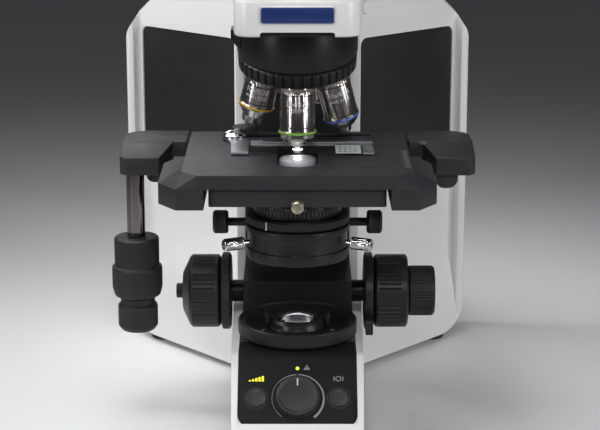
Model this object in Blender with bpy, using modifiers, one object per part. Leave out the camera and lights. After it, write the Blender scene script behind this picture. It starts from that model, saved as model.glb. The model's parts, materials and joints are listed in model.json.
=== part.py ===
"""Upright laboratory microscope, built as an assembly of separate pieces.

Drawing units are millimetres measured from the optical axis:
X to the right, Y away from the user, Z up from the table.
The model itself is in metres, with its origin at the middle of its
footprint on the table, so the optical axis stands at Y = AXIS_Y.
"""
import math

import bmesh
import bpy
from mathutils import Matrix, Vector

# ---------------------------------------------------------------- dimensions
AXIS_Y = -108.0          # optical axis in the part's own frame

BASE_FRONT = -105.0      # front of the base
BASE_JOIN = 112.0        # base casting meets the rear frame
BASE_TOP = 68.6          # white side rims of the base
PANEL_TOP = 68.0         # flat part of the control panel
FOOT_Z = 5.0             # underside of the castings
FRAME_HALF = 136.0       # half width of the rear hoop
FRAME_BACK = 245.0
FRAME_TOP = 308.0
LAMP_BACK = 321.0

KNOB_Y, KNOB_Z = 75.0, 77.5      # focus axis
COARSE_R = 27.0
FINE_R = 18.5

STAGE_TOP = 199.0
PLATE_UNDER = 189.8
STAGE_LOW = 177.0
SLOT_HALF = 14.0         # light slot in the stage plate
SLOT_END = 48.7

HANDLE_X, HANDLE_Y = -115.0, 38.0

TURRET_Y, TURRET_Z = 23.2, 251.2  # turret axis where the objectives seat
TURRET_TILT = math.radians(15.0)
TURRET_R = 41.0
SEAT_R = 24.0            # circle of objective seats

SHAFT_Y, SHAFT_Z = 54.0, 135.5   # condenser height shaft

EYE_TILT = math.radians(30.0)    # eyepiece tubes above horizontal
EYE_R = 38.0             # swing radius of the eyepiece tubes
EYE_DROP = math.radians(35.0)
EYE_Y, EYE_Z = -18.0, 374.0      # hinge point of the tubes on the head

GAP = 0.35               # clearance between neighbouring pieces
STEPS = 24

# ---------------------------------------------------------------- materials
WHITE = ("painted_white", (0.80, 0.81, 0.80), 0.35, 0.0)
BLACK = ("satin_black", (0.035, 0.035, 0.038), 0.45, 0.0)
PANEL = ("panel_grey", (0.10, 0.10, 0.11), 0.45, 0.0)
RUBBER = ("black_rubber", (0.03, 0.03, 0.03), 0.75, 0.0)
CHROME = ("chrome", (0.78, 0.78, 0.80), 0.15, 1.0)
SATIN = ("satin_metal", (0.55, 0.54, 0.52), 0.28, 1.0)
BRASS = ("brass", (0.62, 0.55, 0.40), 0.35, 1.0)
GLASS = ("glass", (0.85, 0.92, 0.95), 0.05, 0.0)
LAMP = ("lamp_green", (0.75, 0.95, 0.35), 0.35, 0.0)


def material(spec, node):
    name, col, rough, metal = spec
    mat = bpy.data.materials.new(node + "_" + name)
    mat.use_nodes = True
    bsdf = mat.node_tree.nodes["Principled BSDF"]
    bsdf.inputs["Base Color"].default_value = (*col, 1.0)
    bsdf.inputs["Roughness"].default_value = rough
    bsdf.inputs["Metallic"].default_value = metal
    if name == "glass":
        bsdf.inputs["Transmission Weight"].default_value = 0.8
    return mat


# ------------------------------------------------------------------ helpers
for old in list(bpy.data.objects):
    bpy.data.objects.remove(old, do_unlink=True)

PARTS = bpy.data.collections.new("microscope")
CUTTERS = bpy.data.collections.new("cutters")
bpy.context.scene.collection.children.link(PARTS)
bpy.context.scene.collection.children.link(CUTTERS)


def P(x, y, z):
    """A drawing point (mm, from the optical axis) in the part's frame."""
    return Vector((x / 1000.0, (y + AXIS_Y) / 1000.0, z / 1000.0))


def new_object(name, mesh, spec=None, smooth=True):
    obj = bpy.data.objects.new(name, mesh)
    if spec is None:
        CUTTERS.objects.link(obj)
        obj.hide_render = True
        obj.display_type = 'WIRE'
    else:
        PARTS.objects.link(obj)
        mesh.materials.clear()
        mesh.materials.append(material(spec, name))
        if smooth:
            mesh.shade_smooth()
            mesh.set_sharp_from_angle(angle=math.radians(35))
    return obj


def evaluated_mesh(obj, name):
    bpy.context.view_layer.update()
    deps = bpy.context.evaluated_depsgraph_get()
    mesh = bpy.data.meshes.new_from_object(obj.evaluated_get(deps))
    mesh.name = name
    bm = bmesh.new()
    bm.from_mesh(mesh)
    bmesh.ops.remove_doubles(bm, verts=bm.verts, dist=1e-7)
    bmesh.ops.recalc_face_normals(bm, faces=bm.faces)
    bm.to_mesh(mesh)
    bm.free()
    return mesh


def extruded(name, outline, lo, hi, axis, spec=None, smooth=True):
    """A flat outline (mm pairs) given thickness between lo and hi along axis.
    axis 'X': outline is (Y, Z); 'Y': outline is (X, Z); 'Z': outline is (X, Y)."""
    curve = bpy.data.curves.new(name + "_outline", 'CURVE')
    curve.dimensions = '2D'
    curve.fill_mode = 'BOTH'
    curve.extrude = (hi - lo) / 2000.0
    spline = curve.splines.new('POLY')
    spline.points.add(len(outline) - 1)
    for point, (a, b) in zip(spline.points, outline):
        point.co = (a / 1000.0, b / 1000.0, 0, 1)
    spline.use_cyclic_u = True
    tmp = bpy.data.objects.new(name + "_curve", curve)
    bpy.context.scene.collection.objects.link(tmp)
    mid = (lo + hi) / 2.0
    if axis == 'Z':
        frame = Matrix.Translation(P(0, 0, mid))
    elif axis == 'X':   # local x -> Y, local y -> Z, local z -> X
        rot = Matrix(((0, 0, 1), (1, 0, 0), (0, 1, 0))).to_4x4()
        frame = Matrix.Translation(P(mid, 0, 0)) @ rot
    else:               # local x -> X, local y -> Z, local z -> -Y
        rot = Matrix(((1, 0, 0), (0, 0, -1), (0, 1, 0))).to_4x4()
        frame = Matrix.Translation(P(0, mid, 0)) @ rot
    mesh = evaluated_mesh(tmp, name)
    bpy.data.objects.remove(tmp, do_unlink=True)
    bm = bmesh.new()          # caps as single faces
    bm.from_mesh(mesh)
    bmesh.ops.dissolve_limit(bm, angle_limit=1e-3, verts=bm.verts, edges=bm.edges)
    bm.to_mesh(mesh)
    bm.free()
    obj = new_object(name, mesh, spec, smooth)
    mesh.transform(frame)
    return obj


def block(name, x0, x1, y0, y1, z0, z1, spec=None, bevel=0.0, smooth=True):
    """A rectangular block, its edges eased by a Bevel modifier."""
    mesh = bpy.data.meshes.new(name)
    bm = bmesh.new()
    bmesh.ops.create_cube(bm, size=1.0)
    bmesh.ops.scale(bm, verts=bm.verts,
                    vec=((x1 - x0) / 1000, (y1 - y0) / 1000, (z1 - z0) / 1000))
    bmesh.ops.translate(bm, verts=bm.verts,
                        vec=P((x0 + x1) / 2, (y0 + y1) / 2, (z0 + z1) / 2))
    bm.to_mesh(mesh)
    bm.free()
    obj = new_object(name, mesh, spec, smooth)
    if bevel:
        ease(obj, bevel)
    return obj


def ease(obj, width, segments=1, angle=40):
    mod = obj.modifiers.new("edges", 'BEVEL')
    mod.width = width / 1000.0
    mod.segments = segments
    mod.limit_method = 'ANGLE'
    mod.angle_limit = math.radians(angle)
    return mod


def hull(name, points, spec=None):
    """A faceted solid as the convex hull of its corner points (mm)."""
    mesh = bpy.data.meshes.new(name)
    bm = bmesh.new()
    for p in points:
        bm.verts.new(P(*p))
    res = bmesh.ops.convex_hull(bm, input=bm.verts)
    loose = [v for v in bm.verts if not v.link_faces]
    bmesh.ops.delete(bm, geom=loose, context='VERTS')
    bmesh.ops.dissolve_limit(bm, angle_limit=1e-3, verts=bm.verts, edges=bm.edges)
    bmesh.ops.recalc_face_normals(bm, faces=bm.faces)
    bm.to_mesh(mesh)
    bm.free()
    return new_object(name, mesh, spec)


def axis_frame(origin, direction):
    """A frame whose local +Z runs along direction from a drawing point."""
    d = Vector(direction).normalized()
    rot = d.to_track_quat('Z', 'Y').to_matrix().to_4x4()
    return Matrix.Translation(P(*origin)) @ rot


def turned(name, profile, origin=(0, 0, 0), direction=(0, 0, 1), spec=None,
           steps=STEPS, parent=None):
    """A turned solid. The profile lists (radius, height) in mm from the top of
    the axis down the outer side to the bottom of the axis; a ring's profile
    goes on up its bore and closes. The object's origin is on its axis."""
    mesh = bpy.data.meshes.new(name)
    ring = profile[0][0] > 1e-6
    bm = bmesh.new()
    verts = [bm.verts.new((r / 1000.0, 0, h / 1000.0)) for r, h in profile]
    for a, b in zip(verts, verts[1:]):
        bm.edges.new((a, b))
    if ring:
        bm.edges.new((verts[-1], verts[0]))
    bm.to_mesh(mesh)
    bm.free()
    tmp = bpy.data.objects.new(name, mesh)
    bpy.context.scene.collection.objects.link(tmp)
    mod = tmp.modifiers.new("turn", 'SCREW')
    mod.axis = 'Z'
    mod.angle = 2 * math.pi
    mod.steps = steps
    mod.render_steps = steps
    mod.use_merge_vertices = True
    mod.merge_threshold = 0.00001
    mod.use_smooth_shade = True
    solid = evaluated_mesh(tmp, name)
    bpy.data.objects.remove(tmp, do_unlink=True)
    obj = new_object(name, solid, spec)
    obj.matrix_world = axis_frame(origin, direction)
    return obj


def rounded(points, radii, n=4):
    """Round the corners of an outline; radii is one number or one per corner."""
    if not isinstance(radii, (list, tuple)):
        radii = [radii] * len(points)
    out = []
    count = len(points)
    for i, (px, py) in enumerate(points):
        r = radii[i]
        if r <= 0:
            out.append((px, py))
            continue
        a = Vector(points[i - 1]) - Vector((px, py))
        b = Vector(points[(i + 1) % count]) - Vector((px, py))
        la, lb = a.length, b.length
        a.normalize()
        b.normalize()
        half = math.acos(max(-1, min(1, a.dot(b)))) / 2
        t = min(r / math.tan(half), 0.49 * la, 0.49 * lb)
        r = t * math.tan(half)
        p0 = Vector((px, py)) + a * t
        p1 = Vector((px, py)) + b * t
        c = Vector((px, py)) + (a + b).normalized() * (r / math.sin(half))
        a0 = math.atan2(p0.y - c.y, p0.x - c.x)
        a1 = math.atan2(p1.y - c.y, p1.x - c.x)
        d = (a1 - a0 + math.pi) % (2 * math.pi) - math.pi
        for k in range(n + 1):
            ang = a0 + d * k / n
            out.append((c.x + r * math.cos(ang), c.y + r * math.sin(ang)))
    return out


def mirrored(half):
    """A full outline from its right half, listed from front to back."""
    left = [(-x, y) for x, y in reversed(half) if x > 1e-6]
    return list(half) + left


def combine(obj, other, operation):
    mod = obj.modifiers.new(operation.lower() + "_" + other.name, 'BOOLEAN')
    mod.operation = operation
    mod.solver = 'EXACT'
    mod.object = other
    return obj


def bake(obj):
    """Keep the result of an object's modifiers as its mesh."""
    mesh = evaluated_mesh(obj, obj.name)
    mats = [m for m in obj.data.materials]
    obj.modifiers.clear()
    obj.data = mesh
    if not mesh.materials:
        for m in mats:
            mesh.materials.append(m)
    return obj


def slice_off(obj, point, normal):
    """Cut away what lies on the normal's side of a plane and close the cut."""
    if obj.modifiers:
        bake(obj)
    bm = bmesh.new()
    bm.from_mesh(obj.data)
    inv = obj.matrix_world.inverted()
    co = inv @ P(*point)
    no = (inv.to_3x3() @ Vector(normal)).normalized()
    geom = bm.verts[:] + bm.edges[:] + bm.faces[:]
    bmesh.ops.bisect_plane(bm, geom=geom, plane_co=co, plane_no=no,
                           clear_outer=True, dist=1e-7)
    edges = [e for e in bm.edges if e.is_boundary]
    bmesh.ops.holes_fill(bm, edges=edges, sides=0)
    bmesh.ops.recalc_face_normals(bm, faces=bm.faces)
    bm.to_mesh(obj.data)
    bm.free()
    return obj


def slope(y, above=0.0):
    """Height of the 45 degree control face of the base at a given Y."""
    return 113.0 + y + above


SLOPE_N = Vector((0, -1, 1)).normalized()      # out of the control face


def on_slope(x, y, out=0.0):
    return (x, y + out * SLOPE_N.y, slope(y) + out * SLOPE_N.z)


# ------------------------------------------------------------ base casting
side = [(BASE_FRONT, FOOT_Z), (BASE_JOIN - GAP, FOOT_Z), (BASE_JOIN - GAP, BASE_TOP),
        (-44.4, BASE_TOP), (BASE_FRONT, 16.0)]
side = rounded(side, [3, 0, 0, 6, 12], 4)
plan = mirrored([(0.0, BASE_FRONT)] + rounded([(0, BASE_FRONT), (43.6, BASE_FRONT),
                (47.8, 90.0), (48.2, BASE_JOIN + 20), (0, BASE_JOIN + 20)],
                [0, 15, 0, 0, 0], 5)[1:])
base = extruded("base_casting", side, -60, 60, 'X', WHITE)
combine(base, extruded("base_plan", plan, -5, 90, 'Z'), 'INTERSECT')
recess = [(-83.2, slope(-83.2, -3.6)), (-44.2, 64.2), (130.0, 64.2), (130.0, 90.0),
          (-60.0, 90.0), (-83.2, 50.0)]
combine(base, extruded("panel_recess", recess, -40.15, 40.15, 'X'), 'DIFFERENCE')
cavity = [(-44.0, 0.0), (104.0, 0.0), (104.0, 56.0), (-38.0, 56.0), (-44.0, 50.0)]
combine(base, extruded("base_cavity", cavity, -37.0, 37.0, 'X'), 'DIFFERENCE')
for tag, bx in (("left", -27.5), ("right", 27.5)):
    combine(base, turned("well_" + tag, [(0, 3), (7.4, 3), (7.4, -8), (0, -8)],
                         on_slope(bx, -68.0), SLOPE_N, steps=20), 'DIFFERENCE')

block("bottom_cover", -36.5, 36.5, -43.5, 103.5, FOOT_Z + 0.2, 8.0, BLACK)

for tag, fx, fy in (("front_left", -29, -78), ("front_right", 29, -78),
                    ("rear_left", -108, 205), ("rear_right", 108, 205)):
    turned("foot_" + tag, [(0, 4.6), (11, 4.6), (12, 1.2), (11, 0), (0, 0)],
           (fx, fy, 0), spec=RUBBER, steps=20)

# ------------------------------------------------------------ rear frame
half = [(0, 125), (46, 125), (47.2, 147), (124.0, 218.4), (127.6, 217.8),
        (130.2, 212), (136, 212), (136, FRAME_BACK - 4), (132, FRAME_BACK), (0, FRAME_BACK)]
frame_plan = mirrored(half)
sil = rounded([(0, FOOT_Z), (FRAME_HALF, FOOT_Z), (FRAME_HALF, 250.0), (127, 263.0),
               (82, FRAME_TOP), (0, FRAME_TOP)], [0, 19, 16, 10, 8, 0], 4)
sil = mirrored(sil)
frame = extruded("rear_frame", frame_plan, -20, 330, 'Z', WHITE)
low = extruded("frame_foot", [(BASE_JOIN, -20), (170, -20), (170, BASE_TOP),
                              (BASE_JOIN, BASE_TOP)], -48.2, 48.2, 'X')
combine(frame, low, 'UNION')
skirt_n = Vector((7728.0, -6992.0, 2108.0)).normalized()
for s, tag in ((1, "right"), (-1, "left")):
    quad = [(42, 113.5), (48.7, 116.6), (124, 200), (134, 214), (134, 226), (42, 168)]
    quad = [(s * x, y) for x, y in quad]
    if s < 0:
        quad.reverse()
    skirt = extruded("skirt_" + tag, quad, -15, 118, 'Z')
    slice_off(skirt, (s * 48.0, 116.0, 5.0), (s * skirt_n.x, skirt_n.y, skirt_n.z))
    combine(frame, skirt, 'UNION')
combine(frame, extruded("frame_silhouette", sil, 100, 260, 'Y'), 'INTERSECT')
combine(frame, block("guide_channel", -39.8, 39.8, 110, 134.7, 64.5, 261.9), 'DIFFERENCE')
hollow = block("rear_cavity", -80, 80, 196, 260, 30, 276)
combine(hollow, block("column_cavity", -37, 37, 146, 200, 36, 270), 'UNION')
combine(frame, hollow, 'DIFFERENCE')
combine(frame, block("inlet_pocket", 93.6, 124.4, 228, 260, 33.6, 58.4), 'DIFFERENCE')
combine(frame, block("switch_pocket", -122.4, -97.6, 234, 260, 38.6, 55.4), 'DIFFERENCE')
# recesses for the dark side panels on the two slanted faces
T = Vector((124.0 - 47.2, 218.4 - 147.0)).normalized()
PANEL_N = Vector((T.y, -T.x))


def slanted(name, s, a0, a1, n0, n1, z0, z1, spec=None):
    """A block lying on the right (s=1) or left slanted face of the frame."""
    pts = []
    for a, n in ((a0, n0), (a1, n0), (a1, n1), (a0, n1)):
        x = 47.2 + T.x * a + PANEL_N.x * n
        y = 147.0 + T.y * a + PANEL_N.y * n
        pts.append((s * x, y))
    if s < 0:
        pts.reverse()
    return extruded(name, pts, z0, z1, 'Z', spec)


for s, tag in ((1, "right"), (-1, "left")):
    combine(frame, slanted("panel_seat_" + tag, s, 1.0, 103.9, -3.4, 30, 149.5, 254.4),
            'DIFFERENCE')
    slanted("side_panel_" + tag, s, 1.4, 103.5, -3.0, -0.6, 150.0, 254.0, BLACK)

block("rear_cover", -79.6, 79.6, 240.0, 244.6, 30.4, 275.6, BLACK)

# power inlet with its open socket, and the rocker switch
inlet = block("power_inlet", 94, 124, 228.4, 246.8, 34, 58, BLACK)
combine(inlet, block("inlet_socket", 98, 120, 232.5, 260, 39, 53), 'DIFFERENCE')
extruded("power_switch", [(236.0, 44.0), (236.0, 50.0), (243.6, 53.6), (247.2, 53.2),
                          (245.4, 47.0), (243.6, 40.4), (241.0, 40.6)],
         -121.6, -98.4, 'X', BLACK)

# lamp housing behind the frame, with its neck and cooling cap
lamp = extruded("lamp_housing", rounded([(-43, 14), (43, 14), (43, 98), (-43, 98)], 12, 4),
                262, LAMP_BACK, 'Y', BLACK)
combine(lamp, turned("lamp_neck", [(0, 20), (27, 20), (27, -17.65), (0, -17.65)],
                     (0, 263, 56), (0, 1, 0)), 'UNION')

# ------------------------------------------------------------ arm and head
arm = extruded("arm_casting", [(-14.6, FRAME_TOP), (-14.6, 284.0), (70, 284.0),
                               (79, 262.2), (124.6, 262.2), (124.6, FRAME_TOP)],
               -60, 60, 'X', WHITE)
combine(arm, extruded("arm_plan", [(-42.4, -20), (42.4, -20), (46, 130), (-46, 130)],
                      200, 330, 'Z'), 'INTERSECT')
extruded("arm_front_cap", rounded([(-41.7, -15), (-41.7, -45), (41.7, -45), (41.7, -15)],
                                  [0, 9, 9, 0], 4), 284, FRAME_TOP, 'Z', WHITE)
turned("tube_clamp_screw", [(0, 15), (5.0, 15), (6.2, 13), (6.2, 4), (3, 4), (3, 0), (0, 0)],
       (43.4, 0, 298), (1, 0, 0), SATIN, 16)

head_side = [(50, 308.4), (50, 346), (34, 384), (8, 400), (-2, 401), (-30.5, 352.0),
             (-35, 336), (-35, 308.4)]
head = extruded("observation_tube", head_side, -46, 46, 'X', WHITE)
ease(head, 5.0, 2)

EYE_D = Vector((0, -math.cos(EYE_TILT), math.sin(EYE_TILT)))
EYE_UP = Vector((0, math.sin(EYE_TILT), math.cos(EYE_TILT)))
for s, tag in ((-1, "left"), (1, "right")):
    cx = s * EYE_R * math.cos(EYE_DROP)
    centre = Vector((cx, EYE_Y, EYE_Z)) - EYE_UP * (EYE_R * math.sin(EYE_DROP)) * 0.5
    start = centre + EYE_D * 0.6
    turned("eyepiece_tube_" + tag, [(0, 44), (13.2, 44), (14, 43), (14, 12), (18.5, 9),
                                    (19.5, 7.5), (19.5, 0), (0, 0)],
           start, EYE_D, BLACK)
    turned("eyepiece_" + tag, [(0, 25), (9, 25), (10, 30), (15, 30), (16.5, 28), (16.5, 18),
                               (15.2, 16), (15.2, 6), (14.2, 4), (14.2, 0), (0, 0)],
           start + EYE_D * 44.4, EYE_D, BLACK)

# ------------------------------------------------------------ nosepiece
TA = Vector((0, math.sin(TURRET_TILT), -math.cos(TURRET_TILT)))  # down the turret axis
seat0 = Vector((0, TURRET_Y, TURRET_Z))
mount = turned("nosepiece_mount", [(0, 283.6), (39.5, 283.6), (41.5, 281.6), (41.5, 240),
                                   (0, 240)], (0, TURRET_Y, 0), (0, 0, 1), BLACK, 32)
bpy.context.view_layer.update()
slice_off(mount, seat0 + TA * -14.7, TA)
bpy.context.view_layer.update()
turned("nosepiece_turret", [(0, 14.2), (38, 14.2), (TURRET_R, 13.2), (TURRET_R, 5.0),
                            (39.6, 4.1), (12, -3.3), (0, -3.3)],
       seat0, -TA, BLACK, 36)

# objectives: (name, barrel profile measured up from the seat, negative down)
OBJ = [
    ("objective_20x", [(0, 0), (12.0, 0), (12.0, -30.2), (13.0, -30.6), (13.0, -32),
                       (11.8, -32.5), (11.8, -35.2), (9.2, -37.8), (4.5, -41.2), (4.0, -41.7),
                       (0, -41.7)]),
    ("objective_40x", [(0, 0), (12.0, 0), (12.0, -29), (12.6, -29.5), (12.6, -31.5),
                       (8.5, -36), (5.5, -38), (4.5, -42.2), (0, -42.2)]),
    ("objective_100x", [(0, 0), (12.0, 0), (12.0, -28), (12.6, -28.5), (12.6, -30.5),
                        (8.5, -35), (5.0, -38), (3.5, -42.8), (0, -42.8)]),
    ("objective_4x", [(0, 0), (12.0, 0), (12.0, -17), (12.8, -17.5), (12.8, -20),
                      (11.0, -22), (11.0, -27), (0, -27)]),
    ("objective_10x", [(0, 0), (12.0, 0), (12.0, -20), (12.8, -20.5), (12.8, -22.5),
                       (11.0, -26), (8.0, -33), (7.0, -34.5), (0, -34.5)]),
]
u0 = Vector((0, -math.cos(TURRET_TILT), -math.sin(TURRET_TILT)))   # towards the front seat
for i, (oname, prof) in enumerate(OBJ):
    rot = Matrix.Rotation(math.radians(72.0 * i), 3, -TA)
    down = rot @ Vector((0, 0, -1))
    seat = seat0 + (rot @ u0) * SEAT_R + down * GAP
    turned(oname, prof, seat, -down, SATIN, 24)

# ------------------------------------------------------------ focus
focus = block("focus_block", -39.4, 39.4, 119, 134.3, 65.0, 261.6, BLACK)
combine(focus, block("gear_box", -39.4, 39.4, 50, 122, 65.0, 92.0), 'UNION')
combine(focus, turned("shaft_bore", [(0, 60), (8.4, 60), (8.4, -60), (0, -60)],
                      (0, KNOB_Y, KNOB_Z), (1, 0, 0), steps=STEPS), 'DIFFERENCE')
KX = (1, 0, 0)
turned("focus_tension_ring", [(26, -49.0), (28.5, -50.0), (28.5, -55.0), (26, -56.0),
                              (8.5, -56.0), (8.5, -49.0)], (0, KNOB_Y, KNOB_Z), KX, BLACK, 28)
lever = turned("focus_lock_lever", [(26, 55.6), (28.5, 54.8), (28.5, 49.6), (26, 49.0),
                                    (8.5, 49.0), (8.5, 55.6)], (0, KNOB_Y, KNOB_Z), KX, BLACK, 28)
combine(lever, block("lever_grip", 49.6, 54.8, KNOB_Y - 36, KNOB_Y - 20,
                     KNOB_Z - 22, KNOB_Z - 10), 'UNION')
turned("coarse_knob_left", [(8.0, 55.8), (8.0, -56.5), (25.5, -56.5), (COARSE_R, -58.0),
                            (COARSE_R, -77.5), (25.5, -79.2), (13.5, -84.4), (3.5, -84.4),
                            (3.5, 55.8)], (0, KNOB_Y, KNOB_Z), KX, BLACK, 28)
turned("coarse_knob_right", [(25.5, 81.0), (COARSE_R, 79.5), (COARSE_R, 57.8), (25.5, 56.3),
                             (3.5, 56.3), (3.5, 81.0)], (0, KNOB_Y, KNOB_Z), KX, BLACK, 28)
turned("fine_knob_left", [(0, 81.2), (3.0, 81.2), (3.0, -84.8), (5.5, -84.8), (5.5, -89.0),
                          (4.8, -89.6), (0, -89.6)], (0, KNOB_Y, KNOB_Z), KX, BLACK, 16)
turned("fine_knob_right", [(0, 101), (17.3, 101), (FINE_R, 99.5), (FINE_R, 82.6), (17.5, 81.6),
                           (0, 81.6)], (0, KNOB_Y, KNOB_Z), KX, BLACK, 28)

# ------------------------------------------------------------ stage
carriage = block("focus_carriage", -36, 36, 106, 118.6, 120.0, 176.6, BLACK)
combine(carriage, block("carriage_bridge", -34, 34, 60, 108, 152.0, 176.6), 'UNION')
combine(carriage, block("carriage_front", -22, 22, 47.4, 63, 122.0, 175.0), 'UNION')
combine(carriage, turned("height_bore", [(0, 40), (3.4, 40), (3.4, -40), (0, -40)],
                         (0, SHAFT_Y, SHAFT_Z), KX, steps=16), 'DIFFERENCE')

low_plan = [(-58, -70), (58, -70), (58, 50.5), (100, 53.5), (100, 90.0), (-100, 90.0),
            (-100, 53.5), (-58, 50.5)]
sbase = extruded("stage_base", low_plan, STAGE_LOW, 189.4, 'Z', BLACK)
for s, tag in ((1, "right"), (-1, "left")):
    wing = rounded([(79.4, 51), (120, 51), (124.6, 57), (124.6, 91), (79.4, 91)],
                   [0, 0, 0, 26, 0], 5)
    wing = [(s * x, y) for x, y in wing]
    if s < 0:
        wing.reverse()
    combine(sbase, extruded("wing_" + tag, wing, 177.6, 195, 'Z'), 'UNION')
    pts = [(s * x, y, z) for x, y, z in
           ((95, 25, 176), (95, 25, 189), (124.9, 29, 189), (121, 25, 189), (121, 25, 176),
            (124.9, 29, 176), (95, 61, 176), (124.9, 61, 176), (85, 54, 195.2), (124.9, 54, 195.2),
            (85, 61, 195.2), (124.9, 61, 195.2))]
    combine(sbase, hull("handle_block_" + tag, pts), 'UNION')
combine(sbase, extruded("bracket_right",
                        rounded([(98, 166), (113, 166), (113, 180), (98, 180)],
                                [5, 9, 0, 0], 4), 30, 56, 'Y'), 'UNION')
combine(sbase, block("base_opening", -27, 27, -52, 40, 150, 220), 'DIFFERENCE')

plate_plan = [(-65, -75), (65, -75), (76, -63), (76, 68), (-76, 68), (-76, -63)]
plate = extruded("stage_plate", plate_plan, PLATE_UNDER, STAGE_TOP, 'Z', BLACK)
for s, tag in ((1, "right"), (-1, "left")):
    leg = [(61, -75), (79, -75), (91.6, -56), (91.6, 3), (86, 15), (86, 24), (61, 24)]
    leg = [(s * x, y) for x, y in leg]
    if s < 0:
        leg.reverse()
    combine(plate, extruded("leg_" + tag, leg, 176, 190.2, 'Z'), 'UNION')
    pts = [(s * x, y, z) for x, y, z in
           ((63, -74.9, 189.9), (63, -74.9, 198.9), (65, -74.9, 198.9), (75.9, -63, 198.9),
            (75.9, -50, 198.9), (79, -74.9, 189.9), (91.5, -56, 189.9), (86, -46, 189.9),
            (63, -46, 198.9), (63, -46, 189.9))]
    combine(plate, hull("shoulder_" + tag, pts), 'UNION')
slot = rounded([(-SLOT_HALF, -SLOT_END), (SLOT_HALF, -SLOT_END), (SLOT_HALF, SLOT_END),
                (-SLOT_HALF, SLOT_END)], 13.6, 5)
combine(plate, extruded("light_slot", slot, 150, 220, 'Z'), 'DIFFERENCE')

holder = block("slide_holder", -32.6, 52.5, 13.6, 24, STAGE_TOP + GAP, 201.6, SATIN)
combine(holder, block("holder_end", 44.2, 52.5, -13.5, 16, STAGE_TOP + GAP, 201.2), 'UNION')
finger = extruded("slide_holder_finger",
                  [(-50, 34), (-46.5, 20), (-45, -14), (-33.2, -14), (-33.2, 26), (-38, 34),
                   (-38, 46), (-50, 46)], STAGE_TOP + GAP, 201.4, 'Z', SATIN)
combine(finger, turned("finger_pivot", [(0, 207), (5, 206.4), (8.4, 203.5), (8.8, 202),
                                        (8.8, 200), (0, 200)], (-44.4, 39.5, 0),
                       spec=None), 'UNION')
block("glass_slide", -32.2, 43.8, -13, 13.2, STAGE_TOP + GAP, 200.5, GLASS)
turned("stage_clamp_screw", [(0, 0), (2.4, 0), (2.4, -2), (4.2, -2), (4.2, -8), (3.6, -9),
                             (0, -9)], (0, -70.4, 178.5), (0, 1, 0), BRASS, 16)

# stage drive handle: fixed sleeve and two coaxial knobs
H = (HANDLE_X, HANDLE_Y, 0)
turned("stage_drive_shaft", [(0, 175.6), (6.5, 175.6), (6.5, 129.6), (3.0, 129.6), (3.0, 60.6),
                             (0, 60.6)], H, spec=CHROME, steps=20)
turned("y_drive_knob", [(15.0, 129.0), (16.0, 128.0), (16.0, 109.0), (18.0, 107.0),
                        (18.0, 90.0), (15.0, 84.3), (3.4, 84.3), (3.4, 129.0)],
       H, spec=BLACK)
turned("x_drive_knob", [(12.5, 83.9), (12.5, 80.0), (14.25, 78.5), (14.25, 62.5),
                        (11.0, 60.0), (3.4, 60.0), (3.4, 83.9)], H, spec=BLACK)

# ------------------------------------------------------------ condenser
ring = turned("condenser_holder", [(36.0, 149.5), (36.0, 126.0), (30.6, 126.0),
                                   (30.6, 149.5)], spec=BLACK, steps=32)
combine(ring, block("holder_slide", -20, 20, 33.6, 47.0, 126.0, 149.5), 'UNION')
turned("condenser_body", [(0, 190.0), (12.6, 190.0), (13.0, 188.5), (20.0, 186.5),
                          (20.0, 176.0), (30.5, 169.0), (30.5, 157.5), (28.2, 157.5),
                          (28.2, 151.0), (30.2, 149.4), (30.2, 128.0), (24, 127.0), (0, 127.0)],
       spec=BLACK, steps=32)
turned("condenser_aperture_ring", [(34.5, 157.1), (36.0, 156.0), (36.0, 151.2), (33.5, 149.9),
                                   (30.9, 149.9), (28.6, 152.0), (28.6, 157.1)],
       spec=BLACK, steps=32)
turned("condenser_top_lens", [(0, 196.4), (6, 196.0), (11.5, 194.6), (13.2, 193.2),
                              (13.2, 190.4), (0, 190.4)], spec=GLASS, steps=24)
for s, tag in ((-1, "left"), (1, "right")):
    d = Vector((s * 0.9, -0.436, 0)).normalized()
    start = d * 36.9
    turned("condenser_screw_" + tag, [(0, 0), (2, 0), (2, -4), (4.0, -4), (4.4, -5),
                                      (4.4, -18), (3.6, -19), (0, -19)],
           (start.x, start.y, 139.0), -d, CHROME, 16)
turned("condenser_height_shaft", [(0, 61), (7.5, 61), (8.5, 60), (8.5, 51), (7.5, 50), (3, 50),
                                  (3, -50), (7.5, -50), (8.5, -51), (8.5, -60), (7.5, -61),
                                  (0, -61)], (0, SHAFT_Y, SHAFT_Z), KX, BLACK, 20)

# ------------------------------------------------------------ light and controls
cpanel_side = [(-82.8, slope(-82.8)), (-45.0, PANEL_TOP), (49.4, PANEL_TOP), (49.4, 65.0),
               (-43.8, 65.0), (-82.8, slope(-82.8, -3.0) + 0.0)]
cpanel = extruded("control_panel", cpanel_side, -39.8, 39.8, 'X', PANEL)
for s in (-1, 1):
    slice_off(cpanel, (s * 36.4, -80.4, slope(-80.4)),
              (s * 0.7071, -0.5, -0.5))
for tag, bx in (("left", -27.5), ("right", 27.5)):
    combine(cpanel, turned("button_hole_" + tag, [(0, 5), (7.1, 5), (7.1, -9), (0, -9)],
                           on_slope(bx, -68.0), SLOPE_N, steps=20), 'DIFFERENCE')
    turned("button_" + tag, [(0, 1.4), (5.6, 1.4), (6.6, 0.9), (6.6, -4.2), (0, -4.2)],
           on_slope(bx, -68.0), SLOPE_N, PANEL, 20)
turned("intensity_dial", [(0, 9.0), (11.0, 9.0), (13.4, 8.0), (15.4, 1.2), (15.4, GAP),
                          (0, GAP)], on_slope(0, -68.0), SLOPE_N, PANEL, 28)
turned("status_lamp", [(0, 1.1), (1.2, 1.0), (1.9, GAP), (0, GAP)],
       on_slope(0, -52.5), SLOPE_N, LAMP, 12)

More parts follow.
